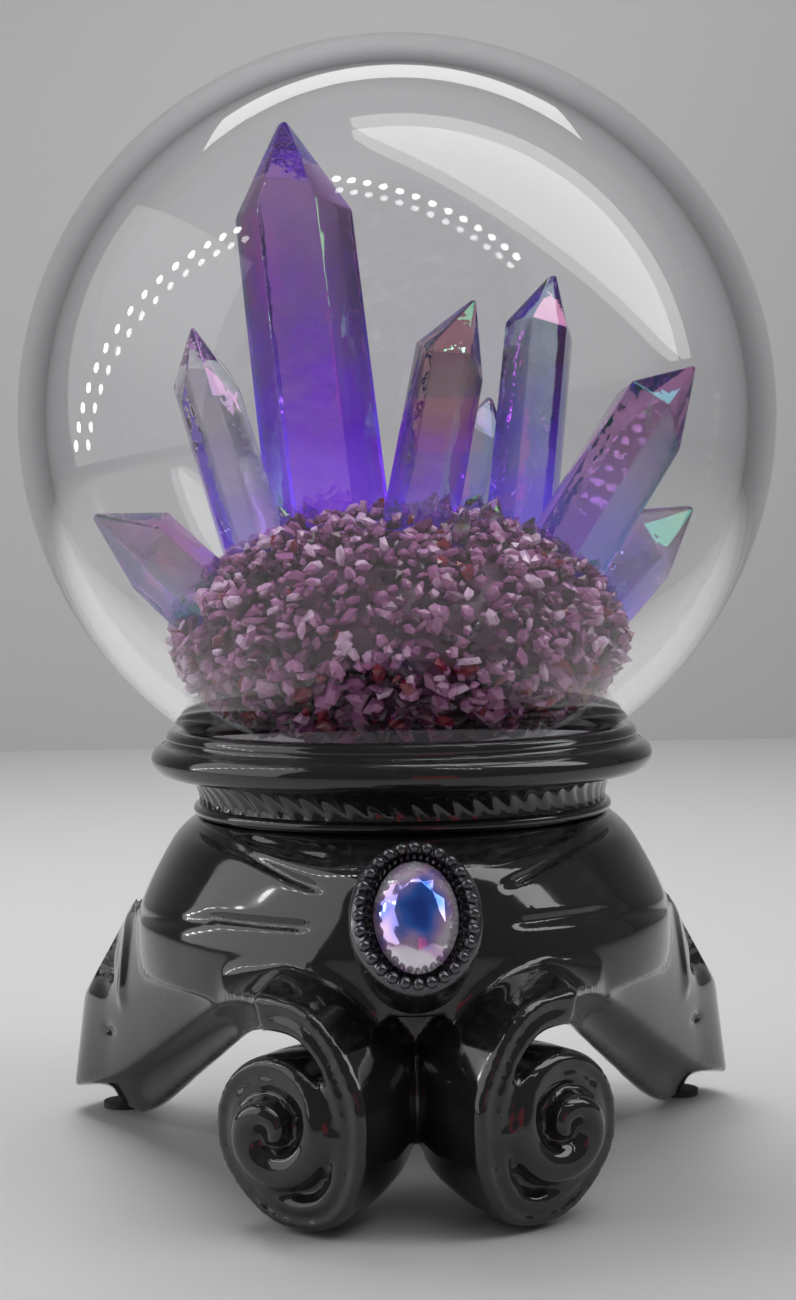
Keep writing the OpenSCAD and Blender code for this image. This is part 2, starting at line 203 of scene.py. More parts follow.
def grain_group() -> bpy.types.NodeTree:
    """Returns the group that varies roughness and height in two sizes of grain, building it once."""
    name = "surface_grain"
    if name in bpy.data.node_groups:
        return bpy.data.node_groups[name]
    number = "NodeSocketFloat"
    group = new_group(
        name,
        {"Scale": (number, 300.0), "Low": (number, 0.1), "High": (number, 0.3)},
        {"Roughness": number, "Height": number},
    )
    wiring = Wiring(group)
    entry, leave = wiring.node("NodeGroupInput"), wiring.node("NodeGroupOutput")
    fine, broad = wiring.noise(1.0, 4.0), wiring.noise(BROAD_GRAINS, 2.0)
    wiring.join(entry.outputs["Scale"], fine.inputs["Scale"])
    both = wiring.node("ShaderNodeMath", operation="MULTIPLY_ADD")
    both.inputs[1].default_value = 0.5
    wiring.join(fine.outputs["Fac"], both.inputs[0])
    half = wiring.spread(broad.outputs["Fac"], 0.0, 0.5)
    wiring.join(half, both.inputs[2])
    mapper = wiring.node("ShaderNodeMapRange")
    for label, number in zip(("From Min", "From Max"), GRAIN_FADE):
        mapper.inputs[label].default_value = number
    wiring.join(both.outputs[0], mapper.inputs["Value"])
    wiring.join(entry.outputs["Low"], mapper.inputs["To Min"])
    wiring.join(entry.outputs["High"], mapper.inputs["To Max"])
    wiring.join(mapper.outputs["Result"], leave.inputs["Roughness"])
    wiring.join(fine.outputs["Fac"], leave.inputs["Height"])
    return group


def dust_group() -> bpy.types.NodeTree:
    """Returns the group that lays thin pale dust on faces that look up, building it once."""
    name = "settled_dust"
    if name in bpy.data.node_groups:
        return bpy.data.node_groups[name]
    group = new_group(
        name,
        {
            "Base": ("NodeSocketColor", (0.1, 0.1, 0.1, 1.0)),
            "Dust": ("NodeSocketColor", (0.5, 0.49, 0.47, 1.0)),
            "Amount": ("NodeSocketFloat", 0.1),
        },
        {"Colour": "NodeSocketColor", "Mask": "NodeSocketFloat"},
    )
    wiring = Wiring(group)
    entry, leave = wiring.node("NodeGroupInput"), wiring.node("NodeGroupOutput")
    split = wiring.node("ShaderNodeSeparateXYZ")
    wiring.join(wiring.node("ShaderNodeTexCoord").outputs["Normal"], split.inputs[0])
    upward = wiring.spread(split.outputs["Z"], 0.0, 1.0, 0.1, 1.0)
    specks = wiring.spread(wiring.noise(DUST_SPECKS, 6.0).outputs["Fac"], 0.0, 1.0, *SPECK_FADE)
    lying = wiring.node("ShaderNodeMath", operation="MULTIPLY")
    wiring.join(upward, lying.inputs[0])
    wiring.join(specks, lying.inputs[1])
    scaled = wiring.node("ShaderNodeMath", operation="MULTIPLY")
    wiring.join(lying.outputs[0], scaled.inputs[0])
    wiring.join(entry.outputs["Amount"], scaled.inputs[1])
    dusted = wiring.mix(scaled.outputs[0], entry.outputs["Base"], entry.outputs["Dust"])
    wiring.join(dusted, leave.inputs["Colour"])
    wiring.join(scaled.outputs[0], leave.inputs["Mask"])
    return group


def dye_and_painted_glow_group() -> bpy.types.NodeTree:
    """Returns the group that runs a crystal's dyes from root to tip and adds a painted glow at the root, standing
    in for light from the lamp below; building it once.
    """
    name = "crystal_dye"
    if name in bpy.data.node_groups:
        return bpy.data.node_groups[name]
    colour = "NodeSocketColor"
    plain = (1.0, 1.0, 1.0, 1.0)
    group = new_group(
        name,
        {label: (colour, plain) for label in ("Root", "Middle", "Tip", "PaintedGlow")},
        {"Colour": colour, "Light": colour, "Height": "NodeSocketFloat"},
    )
    wiring = Wiring(group)
    entry, leave = wiring.node("NodeGroupInput"), wiring.node("NodeGroupOutput")
    along = wiring.node("ShaderNodeAttribute", attribute_name="along")
    wisps = wiring.spread(wiring.noise(DYE_WISPS, 5.0).outputs["Fac"], -WISP_DRIFT, WISP_DRIFT, *WISP_FADE)
    place = wiring.node("ShaderNodeMath", operation="ADD", use_clamp=True)
    wiring.join(along.outputs["Fac"], place.inputs[0])
    wiring.join(wisps, place.inputs[1])
    lower = wiring.spread(place.outputs[0], 0.0, 1.0, *LOWER_DYE)
    upper = wiring.spread(place.outputs[0], 0.0, 1.0, *UPPER_DYE)
    first = wiring.mix(lower, entry.outputs["Root"], entry.outputs["Middle"])
    wiring.join(wiring.mix(upper, first, entry.outputs["Tip"]), leave.inputs["Colour"])
    # Painted glow, strongest at the root, standing in for light from the lamp below.
    glow = wiring.spread(place.outputs[0], 1.0, 0.0, *PAINTED_ROOT_GLOW)
    wiring.join(wiring.mix(glow, (0.0, 0.0, 0.0), entry.outputs["PaintedGlow"]), leave.inputs["Light"])
    wiring.join(wiring.noise(CRYSTAL_DENTS, 2.0).outputs["Fac"], leave.inputs["Height"])
    return group


# ---------------------------------------------------------------- finishes


class Dressing(Wiring):
    """One material being wired round its Principled shader."""

    def __init__(self, name: str) -> None:
        """Makes the material and finds its shader."""
        self.material = bpy.data.materials.new(name)
        self.material.use_nodes = True
        super().__init__(self.material.node_tree)
        self.shader = self.tree.nodes["Principled BSDF"]

    def set(self, **numbers: object) -> None:
        """Sets the shader's own sockets; an underscore in a name stands for a space."""
        for label, value in numbers.items():
            self.shader.inputs[label.replace("_", " ")].default_value = value

    def place(self, group: bpy.types.NodeTree, **values: object) -> bpy.types.Node:
        """Adds a node group to the material.

        Args:
            group: The group.
            values: Its inputs' values, by name.

        Returns:
            The group's node.
        """
        node = self.node("ShaderNodeGroup", node_tree=group)
        for label, value in values.items():
            node.inputs[label].default_value = value
        return node

    def bump(self, height: Socket, strength: float, distance: float) -> None:
        """Raises the surface by a height, in metres at full strength."""
        made = self.node("ShaderNodeBump")
        made.inputs["Strength"].default_value = strength
        made.inputs["Distance"].default_value = distance
        self.join(height, made.inputs["Height"])
        self.join(made.outputs["Normal"], self.shader.inputs["Normal"])

    def let_lamps_through(self, tint: Colour) -> None:
        """Lets light reach what is behind the glass, in the given tint."""
        clear = self.node("ShaderNodeBsdfTransparent")
        clear.inputs["Color"].default_value = (*tint, 1.0)
        choose = self.node("ShaderNodeMixShader")
        self.join(self.node("ShaderNodeLightPath").outputs["Is Shadow Ray"], choose.inputs[0])
        self.join(self.shader.outputs[0], choose.inputs[1])
        self.join(clear.outputs[0], choose.inputs[2])
        self.join(choose.outputs[0], self.tree.nodes["Material Output"].inputs["Surface"])


@dataclass(frozen=True)
class SurfaceFinish:
    """A moulded, painted, rubber or metal surface with grain and a little dust.

    Attributes:
        name: The material's name.
        colour: Its colour.
        low: The least roughness.
        high: The most roughness.
        grain: Grains per metre.
        relief: Strength of the grain's bump.
        metal: How metallic it is.
        coat: Weight of a clear coat.
        dust: Amount of dust on faces that look up.
        depth: Height of the grain, in metres.
    """

    name: str
    colour: Colour
    low: float = 0.3
    high: float = 0.5
    grain: float = 1500.0
    relief: float = 0.15
    metal: float = 0.0
    coat: float = 0.0
    dust: float = 0.1
    depth: float = 0.0001

    def build(self) -> bpy.types.Material:
        """Returns the finished material."""
        dressing = Dressing(self.name)
        dressing.set(Metallic=self.metal, Coat_Weight=self.coat, Coat_Roughness=0.03)
        grain = dressing.place(grain_group(), Scale=self.grain, Low=self.low, High=self.high)
        dust = dressing.place(dust_group(), Base=(*self.colour, 1.0), Amount=self.dust)
        dressing.join(dust.outputs["Colour"], dressing.shader.inputs["Base Color"])
        dressing.join(grain.outputs["Roughness"], dressing.shader.inputs["Roughness"])
        dressing.bump(grain.outputs["Height"], self.relief, self.depth)
        return dressing.material


@dataclass(frozen=True)
class GlobeFinish:
    """Polished clear acrylic with faint wipe marks.

    Attributes:
        name: The material's name.
        tint: The wall's faint colour.
        shade: The colour of the light that passes.
        wipes: Wipe marks per metre.
        haze: The roughness of the wipe marks.
    """

    name: str = "clear_globe"
    tint: Colour = (0.985, 0.992, 0.995)
    shade: Colour = (0.93, 0.94, 0.95)
    wipes: float = 90.0
    haze: float = 0.035

    def build(self) -> bpy.types.Material:
        """Returns the finished material."""
        dressing = Dressing(self.name)
        dressing.set(Transmission_Weight=1.0, IOR=ACRYLIC_INDEX, Metallic=0.0)
        wipes = dressing.place(grain_group(), Scale=self.wipes, Low=0.0, High=self.haze)
        dressing.join(wipes.outputs["Roughness"], dressing.shader.inputs["Roughness"])
        tone = dressing.mix(wipes.outputs["Height"], self.tint, WHITE)
        dressing.join(tone, dressing.shader.inputs["Base Color"])
        dressing.let_lamps_through(self.shade)
        return dressing.material


@dataclass(frozen=True)
class CrystalFinish:
    """Dyed clear acrylic with a thin iridescent coat and a painted glow at the root, which stands in for light
    from the lamp below.

    Attributes:
        name: The material's name.
        root: Dye at the root.
        middle: Dye half way up.
        tip: Dye at the tip.
        glow: Colour of the painted glow at the root, in emission, standing in for light from the lamp below.
        film: Thickness of the coat, in nanometres.
    """

    name: str
    root: Colour
    middle: Colour
    tip: Colour
    glow: Colour
    film: float = 420.0

    def build(self) -> bpy.types.Material:
        """Returns the finished material."""
        dressing = Dressing(self.name)
        dressing.set(
            Transmission_Weight=1.0, IOR=ACRYLIC_INDEX, Metallic=0.0, Roughness=0.02,
            Thin_Film_Thickness=self.film, Thin_Film_IOR=1.9, Emission_Strength=1.0,
        )
        dye_and_painted_glow = dressing.place(
            dye_and_painted_glow_group(), Root=(*self.root, 1.0), Middle=(*self.middle, 1.0),
            Tip=(*self.tip, 1.0), PaintedGlow=(*self.glow, 1.0),
        )
        dressing.join(dye_and_painted_glow.outputs["Colour"], dressing.shader.inputs["Base Color"])
        # Emission paints the glow at the root, standing in for light from the lamp below.
        dressing.join(dye_and_painted_glow.outputs["Light"], dressing.shader.inputs["Emission Color"])
        dressing.bump(dye_and_painted_glow.outputs["Height"], 0.3, 0.0005)
        dressing.let_lamps_through(tuple(0.35 + 0.6 * part for part in self.middle))
        return dressing.material


@dataclass(frozen=True)
class ChipFinish:
    """Crushed tinted glass, each chip in its own shade, with painted shade on the chips that lie deeper or lower
    in the heap.

    Attributes:
        name: The material's name.
        shades: The chips' colours, from the darkest to the palest and then the dark red ones.
    """

    name: str = "crushed_chips"
    shades: tuple[tuple[float, Colour], ...] = (
        (0.0, (0.035, 0.003, 0.022)),
        (0.22, (0.15, 0.025, 0.11)),
        (0.45, (0.36, 0.11, 0.29)),
        (0.75, (0.56, 0.25, 0.48)),
        (0.93, (0.82, 0.58, 0.80)),
        (1.0, (0.24, 0.004, 0.03)),
    )

    def build(self) -> bpy.types.Material:
        """Returns the finished material."""
        dressing = Dressing(self.name)
        dressing.set(Transmission_Weight=0.25, IOR=1.5, Metallic=0.0, Coat_Weight=0.6, Coat_Roughness=0.04)
        # The tint attribute holds each chip's tone with painted shade for the deeper and lower chips.
        tint = dressing.node("ShaderNodeAttribute", attribute_name="tint")
        dressing.join(dressing.ramp(tint.outputs["Fac"], self.shades), dressing.shader.inputs["Base Color"])
        grain = dressing.place(grain_group(), Scale=2500.0, Low=0.06, High=0.22)
        dressing.join(grain.outputs["Roughness"], dressing.shader.inputs["Roughness"])
        dressing.bump(grain.outputs["Height"], 0.1, 0.0001)
        return dressing.material


@dataclass(frozen=True)
class GemFinish:
    """Foil-backed glass with a blue and lavender sheen.

    Attributes:
        name: The material's name.
        centre: The stone's middle.
        reach: Half its height, over which the colours run out.
        narrow: Its width as a share of its height, as the colours see it.
        patches: Patches of colour per metre.
        tones: The colours, from the middle outwards.
    """

    name: str = "gem_glass"
    centre: Place = (0.0, -42.4, 36.3)
    reach: float = 7.0
    narrow: float = 0.75
    patches: float = 230.0
    tones: tuple[tuple[float, Colour], ...] = (
        (0.0, (0.01, 0.42, 0.55)),
        (0.22, (0.02, 0.08, 0.50)),
        (0.45, (0.05, 0.20, 0.85)),
        (0.68, (0.42, 0.36, 0.92)),
        (0.86, (0.80, 0.55, 0.85)),
        (1.0, (0.92, 0.88, 0.98)),
    )

    def build(self) -> bpy.types.Material:
        """Returns the finished material."""
        dressing = Dressing(self.name)
        dressing.set(Metallic=0.7, Roughness=0.08, Coat_Weight=0.6, Coat_Roughness=0.01, Coat_IOR=1.6)
        coords = dressing.node("ShaderNodeTexCoord").outputs["Object"]
        centred = dressing.node("ShaderNodeMapping")
        centred.inputs["Location"].default_value = tuple(-part / self.reach for part in self.centre)
        across = 1 / (self.reach * MM)
        centred.inputs["Scale"].default_value = (across / self.narrow, across, across)
        dressing.join(coords, centred.inputs["Vector"])
        length = dressing.node("ShaderNodeVectorMath", operation="LENGTH")
        dressing.join(centred.outputs[0], length.inputs[0])
        patches = dressing.noise(self.patches, 1.0)
        edge = dressing.node("ShaderNodeMath", operation="ADD")
        dressing.join(length.outputs["Value"], edge.inputs[0])
        dressing.join(dressing.spread(patches.outputs["Fac"], -0.3, 0.3, 0.3, 0.7), edge.inputs[1])
        dressing.join(dressing.ramp(edge.outputs[0], self.tones), dressing.shader.inputs["Base Color"])
        return dressing.material


SURFACES = (
    SurfaceFinish(
        "black_gloss", (0.012, 0.012, 0.013), 0.05, 0.13, 260.0, 0.04, coat=0.5, dust=0.05, depth=0.0004,
    ),
    SurfaceFinish("gunmetal", (0.10, 0.10, 0.11), 0.18, 0.34, 1800.0, 0.12, metal=0.9, coat=0.4, dust=0.06),
    SurfaceFinish("silicone_seal", (0.72, 0.72, 0.74), 0.35, 0.5, 2200.0),
    SurfaceFinish("frosted_disc", (0.80, 0.74, 0.88), 0.4, 0.6, 3000.0),
    SurfaceFinish("core_resin", (0.10, 0.03, 0.08), 0.25, 0.45, 900.0, 0.4, depth=0.0004),
    SurfaceFinish("pad_rubber", (0.035, 0.035, 0.036), 0.6, 0.85, 3500.0, 0.3),
    SurfaceFinish("base_black", (0.028, 0.028, 0.03), 0.42, 0.62, 3200.0, 0.35),
    SurfaceFinish("screw_steel", (0.62, 0.62, 0.64), 0.2, 0.36, 2600.0, 0.1, metal=1.0, dust=0.03),
    SurfaceFinish("board_green", (0.02, 0.16, 0.06), 0.25, 0.4, 1200.0, 0.1, coat=0.3),
    SurfaceFinish("led_lens", (0.72, 0.60, 0.95), 0.08, 0.16, 800.0, 0.05, coat=0.6),
    SurfaceFinish("reflector_white", (0.86, 0.86, 0.87), 0.2, 0.35, 1500.0, 0.05),
    SurfaceFinish("cell_steel", (0.70, 0.70, 0.72), 0.16, 0.3, 2400.0, 0.06, metal=1.0, dust=0.02),
    SurfaceFinish("contact_metal", (0.78, 0.60, 0.30), 0.18, 0.32, 2400.0, 0.06, metal=1.0, dust=0.02),
    SurfaceFinish("slider_black", (0.02, 0.02, 0.021), 0.35, 0.5, 2600.0, 0.25),
    SurfaceFinish("wire_red", (0.50, 0.02, 0.02), 0.35, 0.5, 1600.0, 0.1),
    SurfaceFinish("wire_black", (0.02, 0.02, 0.02), 0.35, 0.5, 1600.0, 0.1),
)
# The fourth colour of each crystal is its painted root glow, standing in for light from the lamp below.
CRYSTALS = (
    CrystalFinish(
        "crystal_violet", (0.24, 0.04, 0.60), (0.42, 0.18, 0.66), (0.58, 0.34, 0.68),
        (0.035, 0.004, 0.20), 380.0,
    ),
    CrystalFinish(
        "crystal_clear", (0.50, 0.38, 0.76), (0.74, 0.70, 0.82), (0.78, 0.68, 0.82),
        (0.012, 0.004, 0.07), 460.0,
    ),
    CrystalFinish(
        "crystal_plum", (0.34, 0.14, 0.62), (0.48, 0.25, 0.52), (0.44, 0.18, 0.38),
        (0.012, 0.002, 0.07), 350.0,
    ),
    CrystalFinish(
        "crystal_olive", (0.26, 0.08, 0.62), (0.46, 0.34, 0.34), (0.38, 0.15, 0.20),
        (0.03, 0.005, 0.15), 520.0,
    ),
    CrystalFinish(
        "crystal_blue", (0.28, 0.20, 0.74), (0.52, 0.54, 0.80), (0.66, 0.70, 0.82),
        (0.018, 0.008, 0.15), 430.0,
    ),
    CrystalFinish(
        "crystal_indigo", (0.22, 0.14, 0.66), (0.36, 0.30, 0.60), (0.40, 0.36, 0.30),
        (0.015, 0.005, 0.12), 500.0,
    ),
)


class Paintbox:
    """The finished materials, by the record's slot names."""

    def __init__(self) -> None:
        """Builds every finish once."""
        finishes = (*SURFACES, *CRYSTALS, GlobeFinish(), ChipFinish(), GemFinish())
        self.materials = {finish.name: finish.build() for finish in finishes}

    def of(self, slot: str) -> bpy.types.Material:
        """Returns the material of a slot."""
        return self.materials[slot]


# ---------------------------------------------------------------- mesh helpers


class Track:
    """A smooth curve through keyed points."""

    def __init__(self, keys: Sequence[tuple[float, Sequence[float]]]) -> None:
        """Sorts the keys by their place."""
        self.keys = sorted((place, tuple(point)) for place, point in keys)

    def at(self, place: float) -> tuple[float, ...]:
        """Finds the curve's point at a place.

        Args:
            place: A place between the first key and the last; one outside is held at the end.

        Returns:
            The point's parts.
        """
        keys = self.keys
        place = min(max(place, keys[0][0]), keys[-1][0])
        index = next((i for i in range(len(keys) - 2) if place < keys[i + 1][0]), len(keys) - 2)
        (start, first), (end, last) = keys[index], keys[index + 1]
        before = keys[max(index - 1, 0)]
        after = keys[min(index + 2, len(keys) - 1)]
        share = (place - start) / (end - start)
        span = end - start
        point = []
        for axis in range(len(first)):
            leave = (last[axis] - before[1][axis]) / (end - before[0]) * span
            arrive = (after[1][axis] - first[axis]) / (after[0] - start) * span
            square, cube = share * share, share ** 3
            point.append(
                (2 * cube - 3 * square + 1) * first[axis] + (cube - 2 * square + share) * leave
                + (3 * square - 2 * cube) * last[axis] + (cube - square) * arrive
            )
        return tuple(point)

    def value(self, place: float) -> float:
        """Returns the curve's first part at a place."""
        return self.at(place)[0]


def arc(centre: Spot, radius: float, start: float, end: float, steps: int) -> list[Spot]:
    """Returns points on an arc, angles in degrees, both ends included."""
    turns = (math.radians(start + (end - start) * i / steps) for i in range(steps + 1))
    return [(centre[0] + radius * math.cos(turn), centre[1] + radius * math.sin(turn)) for turn in turns]


def spun(profile: Sequence[Spot], steps: int, closed: bool = True) -> Mesh:
    """Turns a profile of radius and height round Z.

    Args:
        profile: The profile's points.
        steps: Steps in the full turn.
        closed: True if the profile's last point joins its first.

    Returns:
        The turned mesh.
    """
    bm = bmesh.new()
    verts = [bm.verts.new((radius, 0, height)) for radius, height in profile]
    pairs = list(zip(verts, verts[1:])) + ([(verts[-1], verts[0])] if closed else [])
    edges = [bm.edges.new(pair) for pair in pairs]
    bmesh.ops.spin(
        bm, geom=verts + edges, axis=UP, cent=(0, 0, 0), angle=FULL_TURN, steps=steps, use_merge=True,
    )
    tidy(bm)
    return bm


def wrapped(columns: int, rows: int, place: Callable[[int, int], Vector], caps: bool = True) -> Mesh:
    """Bends a grid into a tube.

    Args:
        columns: Faces round the tube.
        rows: Faces along it.
        place: Gives the place of each column and row; the last column falls on the first.
        caps: True if the tube's ends are closed.

    Returns:
        The tube's mesh.
    """
    bm = bmesh.new()
    bmesh.ops.create_grid(bm, x_segments=columns, y_segments=rows, size=1.0)
    for vert in bm.verts:
        column = round((vert.co.x + 1) / 2 * columns)
        row = round((vert.co.y + 1) / 2 * rows)
        vert.co = place(column % columns, row)
    bmesh.ops.remove_doubles(bm, verts=bm.verts, dist=1e-5)
    if caps:
        bmesh.ops.holes_fill(bm, edges=[edge for edge in bm.edges if edge.is_boundary], sides=0)
    tidy(bm)
    return bm


def tidy(bm: Mesh) -> None:
    """Merges doubles and turns the faces outwards."""
    bmesh.ops.remove_doubles(bm, verts=bm.verts, dist=1e-4)
    bmesh.ops.recalc_face_normals(bm, faces=bm.faces)


def as_mesh(name: str, bm: Mesh) -> bpy.types.Mesh:
    """Makes a named mesh of a bmesh, which is freed."""
    mesh = bpy.data.meshes.new(name)
    bm.to_mesh(mesh)
    bm.free()
    return mesh


def put_in_scene(name: str, mesh: bpy.types.Mesh) -> bpy.types.Object:
    """Makes an object of a mesh and links it to the scene."""
    made = bpy.data.objects.new(name, mesh)
    bpy.context.scene.collection.objects.link(made)
    return made


def of_kind(result: dict[str, list], kind: type) -> list:
    """Returns the parts of one kind that an operator made."""
    return [item for item in result["geom"] if isinstance(item, kind)]


def settle(bm: Mesh, turn: Matrix, place: Sequence[float]) -> None:
    """Turns a mesh about the origin and moves the origin's point to a place."""
    bmesh.ops.rotate(bm, verts=bm.verts, cent=ORIGIN, matrix=turn)
    bmesh.ops.translate(bm, verts=bm.verts, vec=place)


def cut_to_hull(bm: Mesh, flat: float) -> None:
    """Cuts a mesh to its hull and merges faces that meet at less than an angle, in degrees."""
    hull = bmesh.ops.convex_hull(bm, input=bm.verts)
    bmesh.ops.delete(bm, geom=list({*hull["geom_interior"], *hull["geom_unused"]}), context="VERTS")
    bmesh.ops.dissolve_limit(bm, angle_limit=math.radians(flat), verts=bm.verts, edges=bm.edges)
    tidy(bm)


def round_edges(bm: Mesh, width: float, segments: int) -> None:
    """Bevels every edge of a mesh."""
    bmesh.ops.bevel(
        bm, geom=bm.edges[:], offset=width, offset_type="OFFSET", segments=segments, profile=0.5,
        affect="EDGES", clamp_overlap=True, material=-1,
    )


def soften(bm: Mesh, factor: float) -> None:
    """Draws every corner of a mesh towards its neighbours."""
    bmesh.ops.smooth_vert(bm, verts=bm.verts, factor=factor, use_axis_x=True, use_axis_y=True, use_axis_z=True)


def absorb(bm: Mesh, other: Mesh) -> None:
    """Adds another mesh to a mesh and frees it."""
    scratch = as_mesh("scratch", other)
    bm.from_mesh(scratch)
    bpy.data.meshes.remove(scratch)


@dataclass
class Piece:
    """A piece to be shown.

    Attributes:
        name: Its name.
        bm: Its mesh, in millimetres.
        slot: The record's slot for its finish.
        replaces: The frame's nodes that it stands for.
        body: The body that it rides on.
        crease: Angle over which an edge stays sharp, in degrees; 0 for flat faces.
    """

    name: str
    bm: Mesh
    slot: str
    replaces: tuple[str, ...] = ()
    body: Body = Body.STAND
    crease: float = 40.0

    def finish(self, paint: Paintbox) -> bpy.types.Object:
        """Makes the object, dresses it and gives it to its body.

        Args:
            paint: The finished materials.

        Returns:
            The new object.
        """
        bmesh.ops.scale(self.bm, vec=(MM, MM, MM), verts=self.bm.verts)
        mesh = as_mesh(self.name, self.bm)
        mesh.polygons.foreach_set("use_smooth", [self.crease > 0] * len(mesh.polygons))
        if self.crease > 0:
            mesh.set_sharp_from_angle(angle=math.radians(self.crease))
        mesh.materials.append(paint.of(self.slot))
        piece = put_in_scene(self.name, mesh)
        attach(piece, self.body.value)
        if self.replaces:
            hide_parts(*self.replaces)
        log.info("%s: %d faces", self.name, len(mesh.polygons))
        return piece


# ---------------------------------------------------------------- globe, bed and crystals


@dataclass
class Globe:
    """The clear hollow globe, cut flat at its mouth."""

    radius: float = 50.0
    wall: float = 3.6
    centre: float = 96.4
    mouth: float = 54.4
    steps: int = 220

    def build(self) -> Piece:
        """Returns the globe's piece."""
        drop = self.mouth - self.centre
        inner = self.radius - self.wall
        low_out = math.degrees(math.asin(drop / self.radius))
        low_in = math.degrees(math.asin(drop / inner))
        outside = arc((0, self.centre), self.radius, low_out, 90, self.steps // 2)
        inside = arc((0, self.centre), inner, 90, low_in, self.steps // 2)
        return Piece("globe_shell", spun([*outside, *inside], self.steps), "clear_globe", ("globe",), crease=60)


@dataclass
class ChipBed:
    """The heap of crushed chips over the moulded core.

    Attributes:
        radius: Its radius where it is widest.
        rise: Its height over there.
        drop: Its depth under there, if it went on to a point.
        widest: The height where it is widest.
        low: The height of its foot.
        count: How many chips it has.
        sorts: How many shapes of chip there are.
        stretch: The least and most length of a chip's radius along each axis.
        flat: Faces of a chip that meet at less than this, in degrees, are one.
        sizes: The least and most size of a chip.
        depths: The least and most depth of a chip under the surface; deeper chips get more painted shade.
        front_height: Chips below this in front are partly larger and redder.
        large: How much larger those are.
        large_share: The share of them that is larger.
        red_front: The share of them that is dark red.
        red: The share of dark red chips elsewhere.
        shade: The chips' middle shade and how far it spreads.
        palest: The shade of the palest chips.
        seed: Starts the random draws.
    """

    radius: float = 31.0
    rise: float = 18.8
    drop: float = 15.0
    widest: float = 67.0
    low: float = 56.3
    count: int = 3900
    sorts: int = 9
    stretch: tuple[Spot, ...] = ((0.8, 1.5), (0.55, 1.05), (0.4, 0.85))
    flat: float = 14.0
    sizes: Spot = (0.65, 1.3)
    depths: Spot = (0.3, 1.7)
    front_height: float = 66.0
    large: float = 1.45
    large_share: float = 0.35
    red_front: float = 0.16
    red: float = 0.03
    shade: Spot = (0.56, 0.3)
    palest: float = 0.93
    seed: int = 7

    def chip(self, rng: random.Random) -> bpy.types.Mesh:
        """Makes one sort of chip, about 2 mm across, from a jittered ball cut to its hull."""
        bm = bmesh.new()
        bmesh.ops.create_icosphere(bm, subdivisions=1, radius=1.0)
        for vert in bm.verts:
            vert.co = Vector([part * rng.uniform(*ends) for part, ends in zip(vert.co, self.stretch)])
        cut_to_hull(bm, self.flat)
        return as_mesh("chip", bm)

    def spot(self, rng: random.Random) -> tuple[Vector, Vector]:
        """Picks a place on the bed's surface, evenly over its area.

        Returns:
            The place and the outward direction there.
        """
        while True:
            way = Vector((rng.gauss(0, 1), rng.gauss(0, 1), rng.gauss(0, 1))).normalized()
            tall = self.rise if way.z > 0 else self.drop
            point = Vector((way.x * self.radius, way.y * self.radius, self.widest + way.z * tall))
            out = Vector((way.x / self.radius, way.y / self.radius, way.z / tall))
            if point.z > self.low and rng.random() < out.length * min(self.rise, self.drop):
                return point, out.normalized()

    def build(self) -> Piece:
        """Returns the bed's piece."""
        rng = random.Random(self.seed)
        sorts = [self.chip(rng) for _ in range(self.sorts)]
        bm = bmesh.new()
        shades: list[tuple[int, float]] = []
        for _ in range(self.count):
            point, out = self.spot(rng)
            low_front = point.z < self.front_height and point.y < 0
            size = rng.uniform(*self.sizes)
            if low_front and rng.random() < self.large_share:
                size *= self.large
            depth = rng.uniform(*self.depths)
            axis = Vector([rng.gauss(0, 1) for _ in range(3)]).normalized()
            turn = Quaternion(axis, rng.uniform(0, FULL_TURN))
            place = Matrix.Translation(point - out * (depth + 0.3 * size)) @ turn.to_matrix().to_4x4()
            sort = rng.choice(sorts)
            chip = sort.copy()
            chip.transform(place @ Matrix.Scale(size, 4))
            bm.from_mesh(chip)
            bpy.data.meshes.remove(chip)
            # Painted shade: chips buried deeper, and chips below 62.5 mm near the collar, are darkened where the
            # heap lies in shade.
            painted_shade = 0.4 * (depth - 0.6) + 0.5 * max(0.0, (62.5 - point.z) / 6)
            shade = min(self.palest, max(0.0, rng.gauss(*self.shade) - painted_shade))
            if rng.random() < (self.red_front if low_front else self.red):
                shade = 1.0
            shades.append((len(sort.vertices), shade))
        # The tint layer holds each chip's tone with the painted shade already taken off.
        layer = bm.verts.layers.float.new("tint")
        bm.verts.ensure_lookup_table()
        first = 0
        for total, shade in shades:
            for vert in bm.verts[first:first + total]:
                vert[layer] = shade
            first += total
        bmesh.ops.recalc_face_normals(bm, faces=bm.faces)
        for sort in sorts:
            bpy.data.meshes.remove(sort)
        return Piece("chip_heap", bm, "crushed_chips", ("chip_bed",), crease=0)


